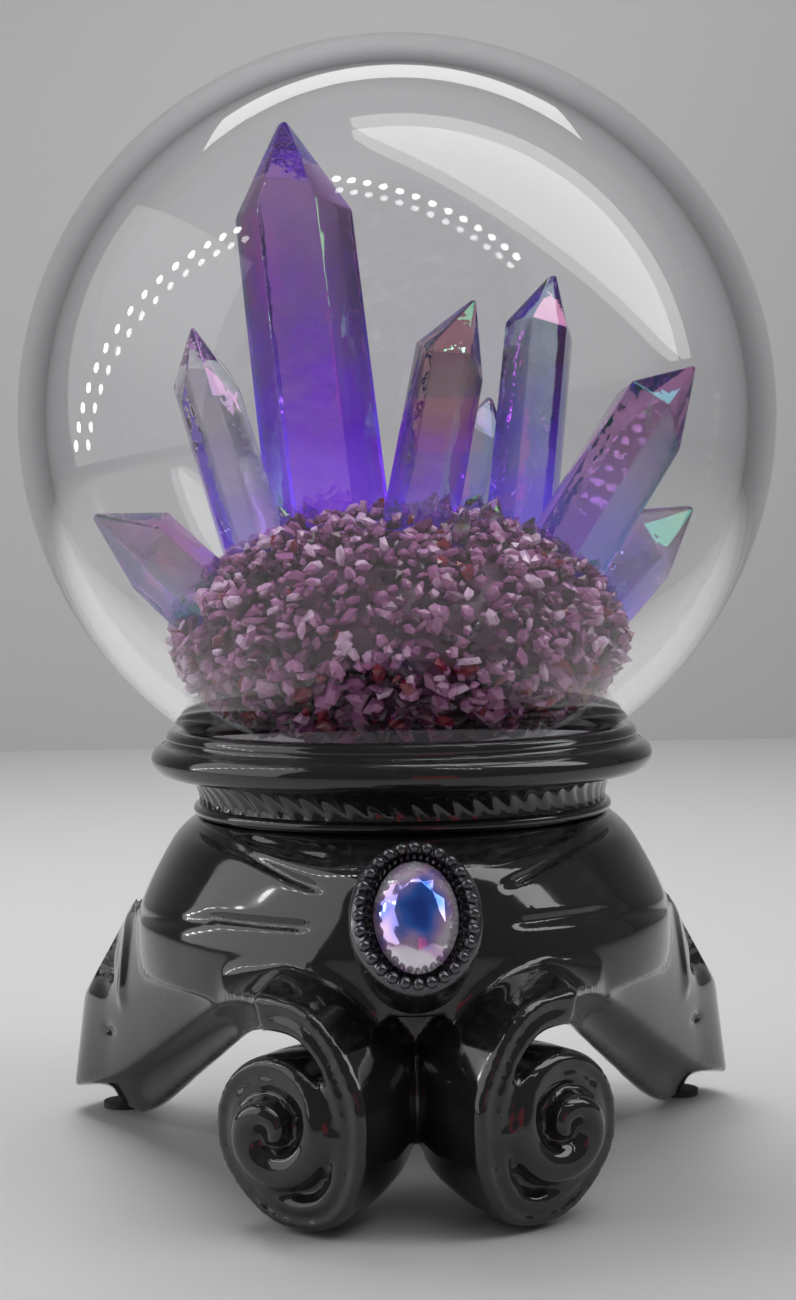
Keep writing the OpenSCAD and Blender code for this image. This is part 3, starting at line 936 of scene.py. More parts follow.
@dataclass
class Crystal:
    """One six-sided crystal with a lopsided point.

    Attributes:
        node: The frame's node that it stands for.
        slot: Its finish.
        root: Middle of its foot.
        tip: Its tip.
        radius: Corner radius of its foot.
        cap: Length of its point.
        lean: How far the tip sits off the axis, as a share of the radius.
        seed: Picks its irregularities.
        turn: Turn about its axis, in degrees.
        shoulder: How uneven its shoulders are, as a share of the point's length.
        waist: The least and most reach of a corner, as a share of the radius.
        taper: The shoulders' reach as a share of the foot's.
        ridge: The tip's length along each axis, as a share of the foot's.
        edge: Width of the bevel on its edges.
    """

    node: str
    slot: str
    root: Place
    tip: Place
    radius: float
    cap: float
    lean: Spot = (0.0, 0.0)
    seed: int = 1
    turn: float = 0.0
    shoulder: float = 0.32
    waist: Spot = (0.86, 1.03)
    taper: float = 0.95
    ridge: Spot = (0.05, 0.16)
    edge: float = 0.26

    def build(self) -> Piece:
        """Returns the crystal's piece."""
        rng = random.Random(self.seed)
        root, tip = Vector(self.root), Vector(self.tip)
        axis = tip - root
        length = axis.length
        bm = bmesh.new()
        bmesh.ops.create_circle(bm, segments=6, radius=self.radius * 0.97, cap_ends=True)
        for vert in bm.verts:
            vert.co *= rng.uniform(*self.waist)
        foot = bm.faces[:]
        body = bmesh.ops.extrude_face_region(bm, geom=foot)
        top = of_kind(body, bmesh.types.BMVert)
        lean = Vector((self.lean[0], self.lean[1], 0))
        for vert in top:
            off = (vert.co.x * lean.x + vert.co.y * lean.y) / self.radius
            vert.co.z = length - self.cap - self.cap * self.shoulder * (off * 2.2 + rng.uniform(-0.5, 0.5))
            vert.co.xy *= self.taper
        roof = of_kind(body, bmesh.types.BMFace)
        point = bmesh.ops.extrude_face_region(bm, geom=roof)
        for vert in of_kind(point, bmesh.types.BMVert):
            near = Vector((vert.co.x * self.ridge[0], vert.co.y * self.ridge[1], 0)) + lean * self.radius
            vert.co = Vector((near.x, near.y, length - 0.3))
        bmesh.ops.delete(bm, geom=roof, context="FACES_ONLY")
        tidy(bm)
        round_edges(bm, self.edge, 2)
        layer = bm.verts.layers.float.new("along")
        for vert in bm.verts:
            vert[layer] = vert.co.z / length
        spin = Matrix.Rotation(math.radians(self.turn), 3, "Z")
        bmesh.ops.rotate(bm, verts=bm.verts, cent=ORIGIN, matrix=spin)
        settle(bm, UP.rotation_difference(axis).to_matrix(), root)
        bmesh.ops.recalc_face_normals(bm, faces=bm.faces)
        nodes = (self.node,) if self.node else ()
        name = f"{self.node}_cut" if self.node else f"root_crystal_{self.seed}"
        return Piece(name, bm, self.slot, nodes, crease=25)


@dataclass
class Cluster:
    """The eight large crystals and the small ones at their roots."""

    large: tuple[Crystal, ...] = (
        Crystal(
            "crystal_tall", "crystal_violet", (-9, 3, 80), (-14.8, 0, 136.4),
            9, 11, (-0.1, -0.2), 3, 24,
        ),
        Crystal(
            "crystal_slim_left", "crystal_clear", (-18, -3, 76), (-27.4, -5, 108.5),
            5, 8, (0.1, -0.2), 5, 10,
        ),
        Crystal(
            "crystal_low_left", "crystal_plum", (-19, -5, 67), (-38.6, -6, 85.9),
            6, 9, (-0.3, 0.2), 8, 35,
        ),
        Crystal(
            "crystal_centre", "crystal_olive", (1.6, -7, 77), (8.4, -10, 111.7),
            5.6, 9, (0.3, 0.1), 13, 15,
        ),
        Crystal(
            "crystal_clear_right", "crystal_blue", (16.4, 4, 76), (20.7, 4, 116.6),
            5.6, 9, (0.35, 0.1), 21, 40,
        ),
        Crystal(
            "crystal_lean_right", "crystal_plum", (18, -3, 72), (38.4, -4, 104.1),
            6.4, 10, (0.3, 0.2), 34, 5,
        ),
        Crystal(
            "crystal_low_right", "crystal_indigo", (23, 2, 67), (39.8, 2, 85.3),
            5.6, 8, (0.3, 0.1), 55, 20,
        ),
        Crystal(
            "crystal_rear_small", "crystal_blue", (6.5, 8, 77), (13.1, 9, 100.3),
            4.4, 6, (0.1, 0.1), 89, 30,
        ),
    )
    sprouts: int = 14
    spread: Spot = (4, 19)
    lengths: Spot = (7, 11)
    widths: Spot = (1.3, 2.1)
    point: float = 2.4
    seed: int = 4

    def build(self) -> list[Piece]:
        """Returns the crystals' pieces."""
        pieces = [crystal.build() for crystal in self.large]
        rng = random.Random(self.seed)
        small = bmesh.new()
        small.verts.layers.float.new("along")
        for index in range(self.sprouts):
            turn = rng.uniform(0, FULL_TURN)
            out = rng.uniform(*self.spread)
            foot = Vector((out * math.cos(turn) - 2, out * math.sin(turn) - 2, 80 - out * 0.28))
            lean = Vector((math.cos(turn) * 0.5, math.sin(turn) * 0.4, 1)).normalized()
            lift = lean * rng.uniform(*self.lengths)
            width = rng.uniform(*self.widths)
            ends = tuple(foot), tuple(foot + lift)
            absorb(small, Crystal("", "crystal_violet", *ends, width, self.point, seed=index).build().bm)
        pieces.append(Piece("root_crystals", small, "crystal_violet", crease=25))
        return pieces


# ---------------------------------------------------------------- collar and neck


@dataclass
class Collar:
    """The flange under the globe, the fluted neck and the thin ring round it."""

    bore: float = 17.8
    low: float = 49.8
    top: float = 55.8
    bead: Spot = (31.4, 51.8)
    bead_radius: float = 2.1
    lip: Spot = (30.5, 54.9)
    lip_radius: float = 0.9
    groove: Spot = (32.3, 54.5)
    groove_radius: float = 0.8
    neck_low: float = 44.3
    neck_bore: float = 22.4
    neck: float = 27.2
    ring_height: float = 45.1
    ring_radius: float = 0.8
    cove: Spot = (31.4, 46.2)
    cove_radius: float = 4.2
    flutes: int = 64
    flute_depth: float = 0.34
    slant: float = 0.03

    def flange(self) -> Piece:
        """Returns the flange with its bead, groove and lip."""
        seat = [
            (29.27, self.top), (28.3, 55.12), (27.2, 54.4), (27.2, 53.4),
            (19.4, 53.4), (19.4, 52.0), (self.bore, 52.0),
        ]
        profile = [
            (self.bore, self.low),
            *arc(self.bead, self.bead_radius, -90, 74, 22),
            *arc(self.groove, self.groove_radius, 250, 165, 8),
            *arc(self.lip, self.lip_radius, 5, 100, 10),
            *seat,
        ]
        return Piece("collar_turned", spun(profile, 144), "black_gloss", ("collar",), crease=35)

    def fluted_neck(self) -> Piece:
        """Returns the neck, its cove cut with slanted flutes."""
        cove = arc(self.cove, self.cove_radius, 180, 98, 14)
        loop = [
            (self.neck_bore, self.neck_low), (self.neck, self.neck_low), (self.neck, 45.6),
            *cove, (self.neck_bore, self.low), (self.neck_bore, self.neck_low),
        ]
        columns = self.flutes * 6

        def place(column: int, row: int) -> Vector:
            radius, height = loop[row]
            turn = FULL_TURN * column / columns
            on_cove = 3 <= row < 3 + len(cove) - 1
            if on_cove:
                wave = math.cos(self.flutes * (turn + self.slant * (height - self.neck_low)))
                radius -= self.flute_depth * (0.5 - 0.5 * wave)
            return Vector((radius * math.cos(turn), radius * math.sin(turn), height))

        bm = wrapped(columns, len(loop) - 1, place)
        return Piece("neck_fluted", bm, "black_gloss", ("neck_band",), crease=50)

    def ring(self) -> Piece:
        """Returns the thin ring."""
        circle = arc((self.neck, self.ring_height), self.ring_radius, 0, 345, 23)
        return Piece("neck_ring_turned", spun(circle, 144), "black_gloss", ("neck_ring",), crease=60)

    def build(self) -> list[Piece]:
        """Returns the three pieces."""
        return [self.flange(), self.fluted_neck(), self.ring()]


# ---------------------------------------------------------------- gem


@dataclass
class Gem:
    """The oval stone, its toothed setting and the beads round it."""

    centre: Place = (0.0, -42.4, 36.3)
    lean: float = 30.0
    width: float = 10.0
    height: float = 14.0
    outer_width: float = 15.6
    outer_height: float = 19.0
    rim: float = 1.8
    back: float = -7.0
    beads: int = 28
    bead_radius: float = 0.72
    bead_inset: float = 1.1
    teeth: int = 44
    facet_edge: float = 0.06

    def mount(self, bm: Mesh) -> None:
        """Turns a mesh from the gem's own frame, which looks along Z, to its place on the stand."""
        settle(bm, Matrix.Rotation(math.radians(90 - self.lean), 3, "X"), self.centre)

    def stone(self) -> Piece:
        """Returns the stone, cut from the hull of staggered ovals."""
        bm = bmesh.new()
        for count, scale, height, offset in (
            (20, 0.94, 0.0, 0.0), (20, 1.0, 0.6, 0.0), (20, 1.0, 1.1, 0.0),
            (20, 0.86, 2.1, 0.5), (10, 0.68, 3.0, 0.0), (10, 0.5, 3.55, 0.5),
        ):
            ring = bmesh.ops.create_circle(bm, segments=count, radius=1.0)["verts"]
            turn = Matrix.Rotation(FULL_TURN * offset / count, 3, "Z")
            bmesh.ops.rotate(bm, verts=ring, cent=(0, 0, 0), matrix=turn)
            bmesh.ops.scale(bm, verts=ring, vec=(self.width / 2 * scale, self.height / 2 * scale, 1))
            bmesh.ops.translate(bm, verts=ring, vec=(0, 0, height))
        bmesh.ops.delete(bm, geom=bm.edges[:], context="EDGES_FACES")
        cut_to_hull(bm, 2)
        round_edges(bm, self.facet_edge, 1)
        self.mount(bm)
        return Piece("gem_cut", bm, "gem_glass", ("gem_stone",), crease=8)

    def setting(self) -> Piece:
        """Returns the cup that holds the stone, with teeth round its inner edge."""
        rows = (
            (2.2, self.back, 0.0), (2.75, -2.0, 0.0), (2.8, 0.7, 0.0), (2.55, 1.35, 0.0), (2.0, self.rim, 0.0),
            (1.3, 1.55, 0.0), (1.0, 1.15, 0.0), (0.75, 1.3, 0.2), (0.3, 1.6, 0.55), (0.08, 1.0, 0.25),
            (0.08, -0.05, 0.0),
        )
        steps = self.teeth * 4

        def place(column: int, row: int) -> Vector:
            out, height, tooth = rows[row]
            turn = FULL_TURN * column / steps
            height += tooth * math.cos(self.teeth * turn)
            half_width, half_height = self.width / 2 + out, self.height / 2 + out * 0.9
            return Vector((half_width * math.cos(turn), half_height * math.sin(turn), height))

        bm = wrapped(steps, len(rows) - 1, place)
        self.mount(bm)
        return Piece("gem_cup", bm, "gunmetal", ("gem_setting",), crease=45)

    def bead_row(self) -> Piece:
        """Returns the row of beads."""
        bm = bmesh.new()
        half_width = self.outer_width / 2 - self.bead_inset
        half_height = self.outer_height / 2 - self.bead_inset
        for index in range(self.beads):
            turn = FULL_TURN * index / self.beads
            spot = Vector((half_width * math.cos(turn), half_height * math.sin(turn), self.rim))
            place = Matrix.Translation(spot)
            bmesh.ops.create_icosphere(bm, subdivisions=3, radius=self.bead_radius, matrix=place)
        self.mount(bm)
        return Piece("bead_row", bm, "gunmetal", ("gem_beads",), crease=60)

    def build(self) -> list[Piece]:
        """Returns the stone, the cup and the beads."""
        return [self.stone(), self.setting(), self.bead_row()]


# ---------------------------------------------------------------- stand


def ridge(share: float, middle: float, half: float, height: float) -> float:
    """Returns the height of a half-round ridge at a place across it."""
    return height * math.sqrt(max(0.0, 1 - ((share - middle) / half) ** 2))


def dip(share: float, middle: float, half: float, depth: float = 1.0) -> float:
    """Returns the depth of a soft-sided groove at a place across it."""
    return depth * math.exp(-(((share - middle) / half) ** 2))


@dataclass
class HornScroll:
    """The left ram's-horn scroll, in a frame of its own: X to the centre line, Y up, Z out along the eye.

    Attributes:
        eye: The middle of the scroll on the stand.
        splay: Turn of its face away from the front, in degrees.
        half_width: Half its width along the eye.
        edge: Height of the face's outer edge.
        start: The turn where the free part of the band begins.
        end: The turn where the band ends against the hood.
        band: Width of the outer band's face.
        face_rings: Rings across the coil's face.
        steps: Steps round the coil.
        rim_ridge: The moulding's ridge at the rim: its middle, half width and height, across the band.
        second_ridge: The ridge inside it.
        groove: The groove between them.
        rope_ridge: The one ridge of the innermost whorls.
        rope_groove: The groove beside it.
        stand_off: Factor on all those heights.
        fade: Turn over which the moulding fades out at the band's end.
        rope_start: The turn inside which two ridges begin to become one.
        rope_blend: Turn over which they do so.
        rim: Radius of the face's edge, by turn.
        heel: Radius of the back's edge, by turn.
        floor: Height of the face under its moulding, by turn.
    """

    eye: Place = (-12.3, -36.2, 12.0)
    splay: float = 34.0
    half_width: float = 7.7
    edge: float = 6.6
    start: float = -14.0
    end: float = 104.0
    band: float = 4.2
    face_rings: int = 64
    steps: int = 180
    rim_ridge: Place = (0.2, 0.2, 0.8)
    second_ridge: Place = (0.72, 0.26, 0.9)
    groove: Place = (0.44, 0.08, 0.8)
    rope_ridge: Place = (0.4, 0.42, 1.5)
    rope_groove: Place = (0.98, 0.14, 2.6)
    stand_off: float = 1.25
    fade: float = 34.0
    rope_start: float = -200.0
    rope_blend: float = 140.0
    rim: Track = field(default_factory=lambda: Track((
        (-1080, (0.0,)), (-810, (1.0,)), (-720, (2.4,)), (-540, (5.2,)), (-360, (7.8,)), (-270, (8.6,)),
        (-180, (9.2,)), (-125, (9.7,)), (-76, (11.9,)), (-53, (12.9,)), (-37, (12.7,)), (-20, (12.2,)),
        (-3, (12.0,)), (24, (12.6,)), (38, (12.9,)), (55, (14.0,)), (75, (15.2,)), (90, (15.4,)), (104, (15.7,)),
    )))
    heel: Track = field(default_factory=lambda: Track((
        (-180, (8.2,)), (-90, (10.4,)), (-45, (10.6,)), (-20, (10.2,)), (0, (10.6,)), (33, (12.2,)),
        (52, (13.6,)), (63, (14.6,)), (85, (17.7,)), (104, (20.6,)),
    )))
    floor: Track = field(default_factory=lambda: Track((
        (-1080, (9.9,)), (-600, (9.2,)), (-420, (8.1,)), (-300, (7.1,)), (-200, (6.7,)), (-120, (6.9,)),
        (104, (6.9,)),
    )))

    def relief(self, turn: float, share: float, width: float) -> float:
        """Finds how far a whorl's moulding stands off its floor.

        Args:
            turn: The turn of the spiral, in degrees.
            share: Place across the whorl, 0 at its outer edge.
            width: The whorl's width.

        Returns:
            The height.
        """
        size = self.stand_off * min(1.0, width / self.band) * min(1.0, max(0.0, (self.end - turn) / self.fade))
        inner = min(1.0, max(0.0, (self.rope_start - turn) / self.rope_blend))
        outer = ridge(share, *self.rim_ridge) + ridge(share, *self.second_ridge) - dip(share, *self.groove)
        rope = ridge(share, *self.rope_ridge) - dip(share, *self.rope_groove)
        return size * ((1 - inner) * outer + inner * rope)

    def band_height(self, turn: float, share: float) -> float:
        """Returns the face's height on the outer band."""
        return self.floor.value(turn) + self.relief(turn, share, self.band)

    def height(self, turn: float, radius: float) -> float:
        """Returns the height of the coil's face at a turn in degrees and a radius."""
        if turn <= 0:
            edge = self.rim.value(turn)
            width = min(self.band, edge - self.rim.value(turn - 360))
            if radius >= edge - width:
                return self.floor.value(turn) + self.relief(turn, (edge - radius) / width, width)
        for lap in (1, 2, 3):
            edge, nearer = self.rim.value(turn - 360 * lap), self.rim.value(turn - 360 * (lap + 1))
            if nearer <= radius <= edge:
                width = max(edge - nearer, 0.2)
                inner = turn - 360 * lap
                return self.floor.value(inner) + self.relief(inner, (edge - radius) / width, width)
        return self.floor.value(turn - 360) - 1.5

    def tread(self, turn: float, share: float) -> float:
        """Returns the tread's radius at a turn, from 0 at the back to 1 at the face."""
        front = self.rim.value(turn)
        back = self.heel.value(turn) if turn > -180 else front - 1.0
        return back + (front - back) * share + 0.5 * math.sin(math.pi * share)

    def coil(self) -> Mesh:
        """Returns the coil: the lower half of the outer band and all the whorls inside it."""
        back, wall = 3, 12
        rows = back + wall + self.face_rings

        def place(column: int, row: int) -> Vector:
            turn = -180 + 360 * column / self.steps
            lap = turn if turn <= 0 else turn - 360
            if row <= back:
                radius, height = self.tread(lap, 0) * (0.02 + 0.98 * row / back), -self.half_width
            elif row < back + wall:
                share = (row - back) / wall
                radius = self.tread(lap, share)
                height = -self.half_width + share * (self.half_width + self.edge)
            else:
                share = (row - back - wall) / self.face_rings
                radius = self.rim.value(lap) * (1 - 0.995 * share)
                height = self.height(turn, radius)
            angle = math.radians(turn)
            return Vector((radius * math.cos(angle), radius * math.sin(angle), height))

        return wrapped(self.steps, rows, place)

    def arm(self) -> Mesh:
        """Returns the upper half of the outer band, which stands clear of the coil."""
        rows, wall, face, inside = 60, 14, 26, 6
        columns = wall + face + 2 * inside

        def place(column: int, row: int) -> Vector:
            turn = self.start + (self.end - self.start) * row / rows
            outer = self.rim.value(turn)
            if column <= wall:
                share = column / wall
                radius = self.tread(turn, share)
                height = -self.half_width + share * (self.half_width + self.edge)
            elif column <= wall + face:
                share = (column - wall) / face
                radius, height = outer - self.band * share, self.band_height(turn, min(share, 0.999))
            elif column <= wall + face + inside:
                share = (column - wall - face) / inside
                radius, height = outer - self.band, self.edge - share * (self.half_width + self.edge)
            else:
                share = (column - wall - face - inside) / inside
                radius = outer - self.band + share * (self.tread(turn, 0) - outer + self.band)
                height = -self.half_width
            angle = math.radians(turn)
            return Vector((radius * math.cos(angle), radius * math.sin(angle), height))

        return wrapped(columns, rows, place)

    def build(self) -> Mesh:
        """Returns the scroll's closed meshes in their place on the stand."""
        bm = self.coil()
        absorb(bm, self.arm())
        splayed = Matrix.Rotation(math.radians(-self.splay), 3, "Z")
        settle(bm, splayed @ Matrix.Rotation(math.radians(90), 3, "X"), self.eye)
        return bm


@dataclass
class Leg:
    """The left side foot and the band that rises from it to the scroll.

    Attributes:
        top: The panel's top edge; each track gives one corner of the cross-section, by share of the way along.
        panel: The bend in the panel's middle.
        hem: The panel's lower edge.
        low: The lower edge of the undercut band.
        back: The band's back.
        sole: How far the sole reaches in from the lower edge, at the foot.
        rows: Faces along it.
        between: Faces between two corners.
        cove: Depth of the hollow in the undercut band.
    """

    top: Track = field(default_factory=lambda: Track((
        (0.0, (-33, 23, 29)), (0.12, (-36.8, 14, 31)), (0.3, (-36.4, 3, 31)), (0.5, (-33.4, -9, 31.4)),
        (0.7, (-28.4, -20, 32)), (0.85, (-20, -27, 32.6)), (1.0, (-10.9, -27.8, 32.1)),
    )))
    panel: Track = field(default_factory=lambda: Track((
        (0.0, (-41.5, 24, 16)), (0.12, (-44.9, 16, 17)), (0.3, (-40.4, 5, 18.5)), (0.5, (-34.8, -7, 22)),
        (0.7, (-28.2, -20.4, 26.2)), (0.85, (-22.0, -29.4, 28.4)), (1.0, (-14.8, -34.6, 29.9)),
    )))
    hem: Track = field(default_factory=lambda: Track((
        (0.0, (-43.4, 24, 2.6)), (0.12, (-46.8, 17.5, 3.3)), (0.3, (-40.6, 6.8, 7.4)), (0.5, (-34.3, -4.2, 13)),
        (0.7, (-26.6, -19, 20.8)), (0.85, (-22.6, -31, 25.2)), (1.0, (-18.8, -40.6, 27.3)),
    )))
    low: Track = field(default_factory=lambda: Track((
        (0.0, (-40, 22.4, 0.9)), (0.12, (-40.2, 17.6, 0.9)), (0.3, (-35.8, 7, 1.9)), (0.5, (-28.6, -4.6, 9.6)),
        (0.7, (-22, -18, 17.4)), (0.85, (-19.6, -29.5, 20.8)), (1.0, (-17.9, -40.8, 23.2)),
    )))
    back: Track = field(default_factory=lambda: Track((
        (0.0, (-35, 20, 10)), (0.12, (-33, 15, 12)), (0.3, (-29, 5, 14)), (0.5, (-23, -3, 19)),
        (0.7, (-17, -14, 23)), (0.85, (-13, -23, 24)), (1.0, (-9.6, -28.7, 23.2)),
    )))
    sole: Place = (2.6, 1.8, 0.7)
    rows: int = 90
    between: int = 10
    cove: float = 2.0

    def corner(self, index: int, share: float) -> Vector:
        """Returns one of the six corners of the cross-section at a share of the way along."""
        tracks = (self.top, self.panel, self.hem, self.low, self.low, self.back)
        point = Vector(tracks[index].at(share))
        if index == 4:
            point += Vector(self.sole) * (1 - 0.6 * share)
        return point

    def build(self) -> Mesh:
        """Returns the leg's closed mesh."""
        corners = 6

        def place(column: int, row: int) -> Vector:
            share = row / self.rows
            index, step = divmod(column, self.between)
            start = self.corner(index, share)
            end = self.corner((index + 1) % corners, share)
            point = start.lerp(end, step / self.between)
            if index == 2:
                inward = (self.corner(5, share) - point).normalized()
                point += inward * self.cove * (1 - share) ** 0.3 * math.sin(math.pi * step / self.between)
            return point

        return wrapped(self.between * corners, self.rows, place)


@dataclass(frozen=True)
class Carving:
    """A line cut into or raised on the front of the stand, mirrored to both sides.

    Attributes:
        line: Its points, as distance from the centre line and height.
        depth: How deep it is cut; below 0 it is raised.
        width: Half its width.
    """

    line: tuple[Spot, ...]
    depth: float
    width: float

    def pull(self, across: float, height: float) -> float:
        """Returns how far the surface is drawn in at a place; the line's ends taper away."""
        spot = Vector((across, height))
        spans = list(zip(self.line, self.line[1:]))
        nearest, place = math.inf, 0.0
        for index, (start, end) in enumerate(spans):
            first, span = Vector(start), Vector(end) - Vector(start)
            share = min(1.0, max(0.0, (spot - first).dot(span) / span.length_squared))
            gap = (spot - first - span * share).length
            if gap < nearest:
                nearest, place = gap, (index + share) / len(spans)
        if nearest > 3 * self.width:
            return 0.0
        taper = min(1.0, 5 * min(place, 1 - place) + 0.25)
        return self.depth * taper * math.exp(-((nearest / self.width) ** 2))


@dataclass
class Stand:
    """The one-piece glossy stand: hood, two scrolls and two side feet.

    Attributes:
        low: Height of the hood's lower edge.
        top: Height of its top.
        wall: Thickness of its wall.
        ceiling: Thickness of its top.
        opening: How far the hole in its top lies in from the outline.
        hole: Radius of that hole.
        voxel: Grain of the skin that joins the parts.
        smoothings: How often the skin is smoothed before it is carved.
        thinning: The share of faces that is kept.
        lobe_spread: Half-angle of the swell at the front, in degrees.
        facing: Y of the normal, over which skin is not carved.
        carved_from: Height over which it is.
        carved_to: Y up to which it is.
        core: Radius and height within which it is not.
        scroll_box: Half width, Y and height of the scrolls, which are not carved.
        front_lobe: How far the swell stands out, by height.
        outline: The hood's radius, by height.
        posts: Places of the screw posts.
        post: Radius of a screw post.
        bridge: Middle, lower and upper radius and height of the cone that joins the scrolls under the gem.
        scroll: The left scroll.
        leg: The left foot.
        carvings: The lines on its front.
    """

    low: float = 24.3
    top: float = 44.3
    wall: float = 2.2
    ceiling: float = 2.0
    opening: float = 17.0
    hole: float = 8.0
    voxel: float = 0.5
    smoothings: int = 5
    thinning: float = 0.62
    lobe_spread: float = 27.0
    facing: float = -0.12
    carved_from: float = 3.0
    carved_to: float = 16.0
    core: Spot = (26.0, 42.0)
    scroll_box: Place = (25.5, -30.0, 30.0)
    front_lobe: Track = field(default_factory=lambda: Track((
        (24.3, (4.6,)), (30, (4.5,)), (36, (5.4,)), (42.4, (5.6,)), (44.3, (0.0,)),
    )))
    outline: Track = field(default_factory=lambda: Track((
        (24.3, (35.6,)), (27, (35.8,)), (31.5, (35.5,)), (34.9, (34.2,)), (38.9, (32.1,)), (42.3, (29.9,)),
        (44.3, (27.4,)),
    )))
    posts: tuple[Spot, ...] = ((0, -32.5), (-19, 22.5), (19, 22.5))
    post: float = 3.0
    bridge: tuple[Place, float, float, float] = ((0, -31.0, 20.5), 1.5, 7.0, 15.0)
    scroll: HornScroll = field(default_factory=HornScroll)
    leg: Leg = field(default_factory=Leg)
    carvings: tuple[Carving, ...] = (
        Carving(((26.5, 43.2), (20.8, 42.0), (14.8, 39.9), (11.0, 38.9)), 0.7, 0.5),
        Carving(((21.4, 43.6), (15.9, 43.0), (9.0, 42.2)), 0.8, 0.6),
        Carving(((25.0, 34.2), (12.0, 34.6)), 0.6, 0.45),
        Carving(((37.0, 31.2), (27.0, 33.4), (24.0, 34.2)), 0.25, 0.6),
        Carving(((37.5, 30.0), (38.3, 18.0)), -0.5, 0.6),
        Carving(((41.2, 28.0), (41.9, 23.5), (41.6, 19.5)), 1.5, 1.3),
        Carving(((40.6, 14.0), (40.6, 13.6)), 0.8, 0.8),
    )

    def hood(self) -> Mesh:
        """Returns the hood: a turned cover with a swell at the front, open below."""
        columns = 144
        outside = [self.low + (self.top - self.low) * i / 16 for i in range(17)]
        ceiling = self.top - self.ceiling

        def radius(turn: float, height: float, inset: float) -> float:
            from_front = math.degrees(math.acos(max(-1.0, min(1.0, -math.sin(turn)))))
            swell = dip(from_front, 0.0, self.lobe_spread) * self.front_lobe.value(height)
            return self.outline.value(height) + swell - inset

        loop = [(height, 0.0) for height in outside]
        loop += [(self.top, self.opening), (ceiling, self.opening), (ceiling, self.wall + 1.0)]
        loop += [(height, self.wall) for height in reversed(outside[:14])]
        loop.append(loop[0])

        def place(column: int, row: int) -> Vector:
            turn = FULL_TURN * column / columns
            height, inset = loop[row]
            out = self.hole if inset == self.opening else radius(turn, height, inset)
            return Vector((out * math.cos(turn), out * math.sin(turn), height))

        return wrapped(columns, len(loop) - 1, place)

    @staticmethod
    def modified(bm: Mesh, kind: str, **settings: object) -> Mesh:
        """Runs a mesh through one modifier.

        Args:
            bm: The mesh, which is freed.
            kind: The modifier's type.
            settings: Its properties, by name.

        Returns:
            The new mesh.
        """
        mesh = as_mesh("before", bm)
        holder = put_in_scene("before", mesh)
        modifier = holder.modifiers.new("step", kind)
        for label, value in settings.items():
            setattr(modifier, label, value)
        after = bpy.data.meshes.new_from_object(holder.evaluated_get(bpy.context.evaluated_depsgraph_get()))
        made = bmesh.new()
        made.from_mesh(after)
        bpy.data.objects.remove(holder)
        bpy.data.meshes.remove(mesh)
        bpy.data.meshes.remove(after)
        return made

    def carve(self, bm: Mesh) -> None:
        """Cuts and raises the carved lines on the skin's front, clear of the scrolls, soles and inside."""
        bm.normal_update()
        moves = []
        for vert in bm.verts:
            across, along, height = abs(vert.co.x), vert.co.y, vert.co.z
            off_front = vert.normal.y > self.facing or height < self.carved_from or along > self.carved_to
            inside = math.hypot(across, along) < self.core[0] and height < self.core[1]
            on_scroll = across < self.scroll_box[0] and along < self.scroll_box[1] and height < self.scroll_box[2]
            if off_front or inside or on_scroll:
                continue
            pull = sum(carving.pull(across, height) for carving in self.carvings)
            if pull:
                moves.append((vert, vert.normal * -pull))
        for vert, move in moves:
            vert.co += move

    def build(self) -> Piece:
        """Returns the stand's piece."""
        half = self.scroll.build()
        absorb(half, self.leg.build())
        mirrored = half.copy()
        bmesh.ops.scale(mirrored, vec=OTHER_SIDE, verts=mirrored.verts)
        bmesh.ops.reverse_faces(mirrored, faces=mirrored.faces)
        absorb(half, mirrored)
        absorb(half, self.hood())
        foot, head = self.low + 2.3, self.top - 1.0
        middle, tall = (foot + head) / 2, head - foot
        cones = [((*spot, middle), self.post, self.post, tall) for spot in self.posts]
        cones.append(self.bridge)
        for place, low_radius, high_radius, depth in cones:
            bmesh.ops.create_cone(
                half, cap_ends=True, segments=32, radius1=low_radius, radius2=high_radius, depth=depth,
                matrix=Matrix.Translation(place),
            )
        skin = self.modified(half, "REMESH", mode="VOXEL", voxel_size=self.voxel)
        for _ in range(self.smoothings):
            soften(skin, 0.5)
        self.carve(skin)
        soften(skin, 0.4)
        skin = self.modified(skin, "DECIMATE", ratio=self.thinning)
        bmesh.ops.recalc_face_normals(skin, faces=skin.faces)
        nodes = ("stand_shell", "scroll_leg_left", "scroll_leg_right", "side_foot_left", "side_foot_right")
        return Piece("stand_body", skin, "black_gloss", nodes, crease=180)


# ---------------------------------------------------------------- studio


@dataclass(frozen=True)
class Softbox:
    """A large soft lamp aimed at a point.

    Attributes:
        name: Its name.
        place: Where it stands, in metres.
        width: Its width.
        height: Its height.
        power: Its power, in watts.
        colour: Its colour.
        aim: The point that it faces.
        mirrored: Whether glossy surfaces mirror it.
        seen_through: Whether it shows through the globe.
    """

    name: str
    place: Place
    width: float
    height: float
    power: float
    colour: Colour = (1.0, 1.0, 1.0)
    aim: Place = (0.0, 0.0, 0.08)
    mirrored: bool = True
    seen_through: bool = True

    def build(self) -> None:
        """Hangs the lamp."""
        lamp = bpy.data.lights.new(self.name, "AREA")
        lamp.shape = "RECTANGLE"
        lamp.size, lamp.size_y = self.width, self.height
        lamp.energy = self.power
        lamp.color = self.colour
        holder = bpy.data.objects.new(self.name, lamp)
        holder.visible_glossy = self.mirrored
        holder.visible_transmission = self.seen_through
        holder.location = self.place
        holder.rotation_euler = (Vector(self.aim) - Vector(self.place)).to_track_quat("-Z", "Y").to_euler()
        bpy.context.scene.collection.objects.link(holder)


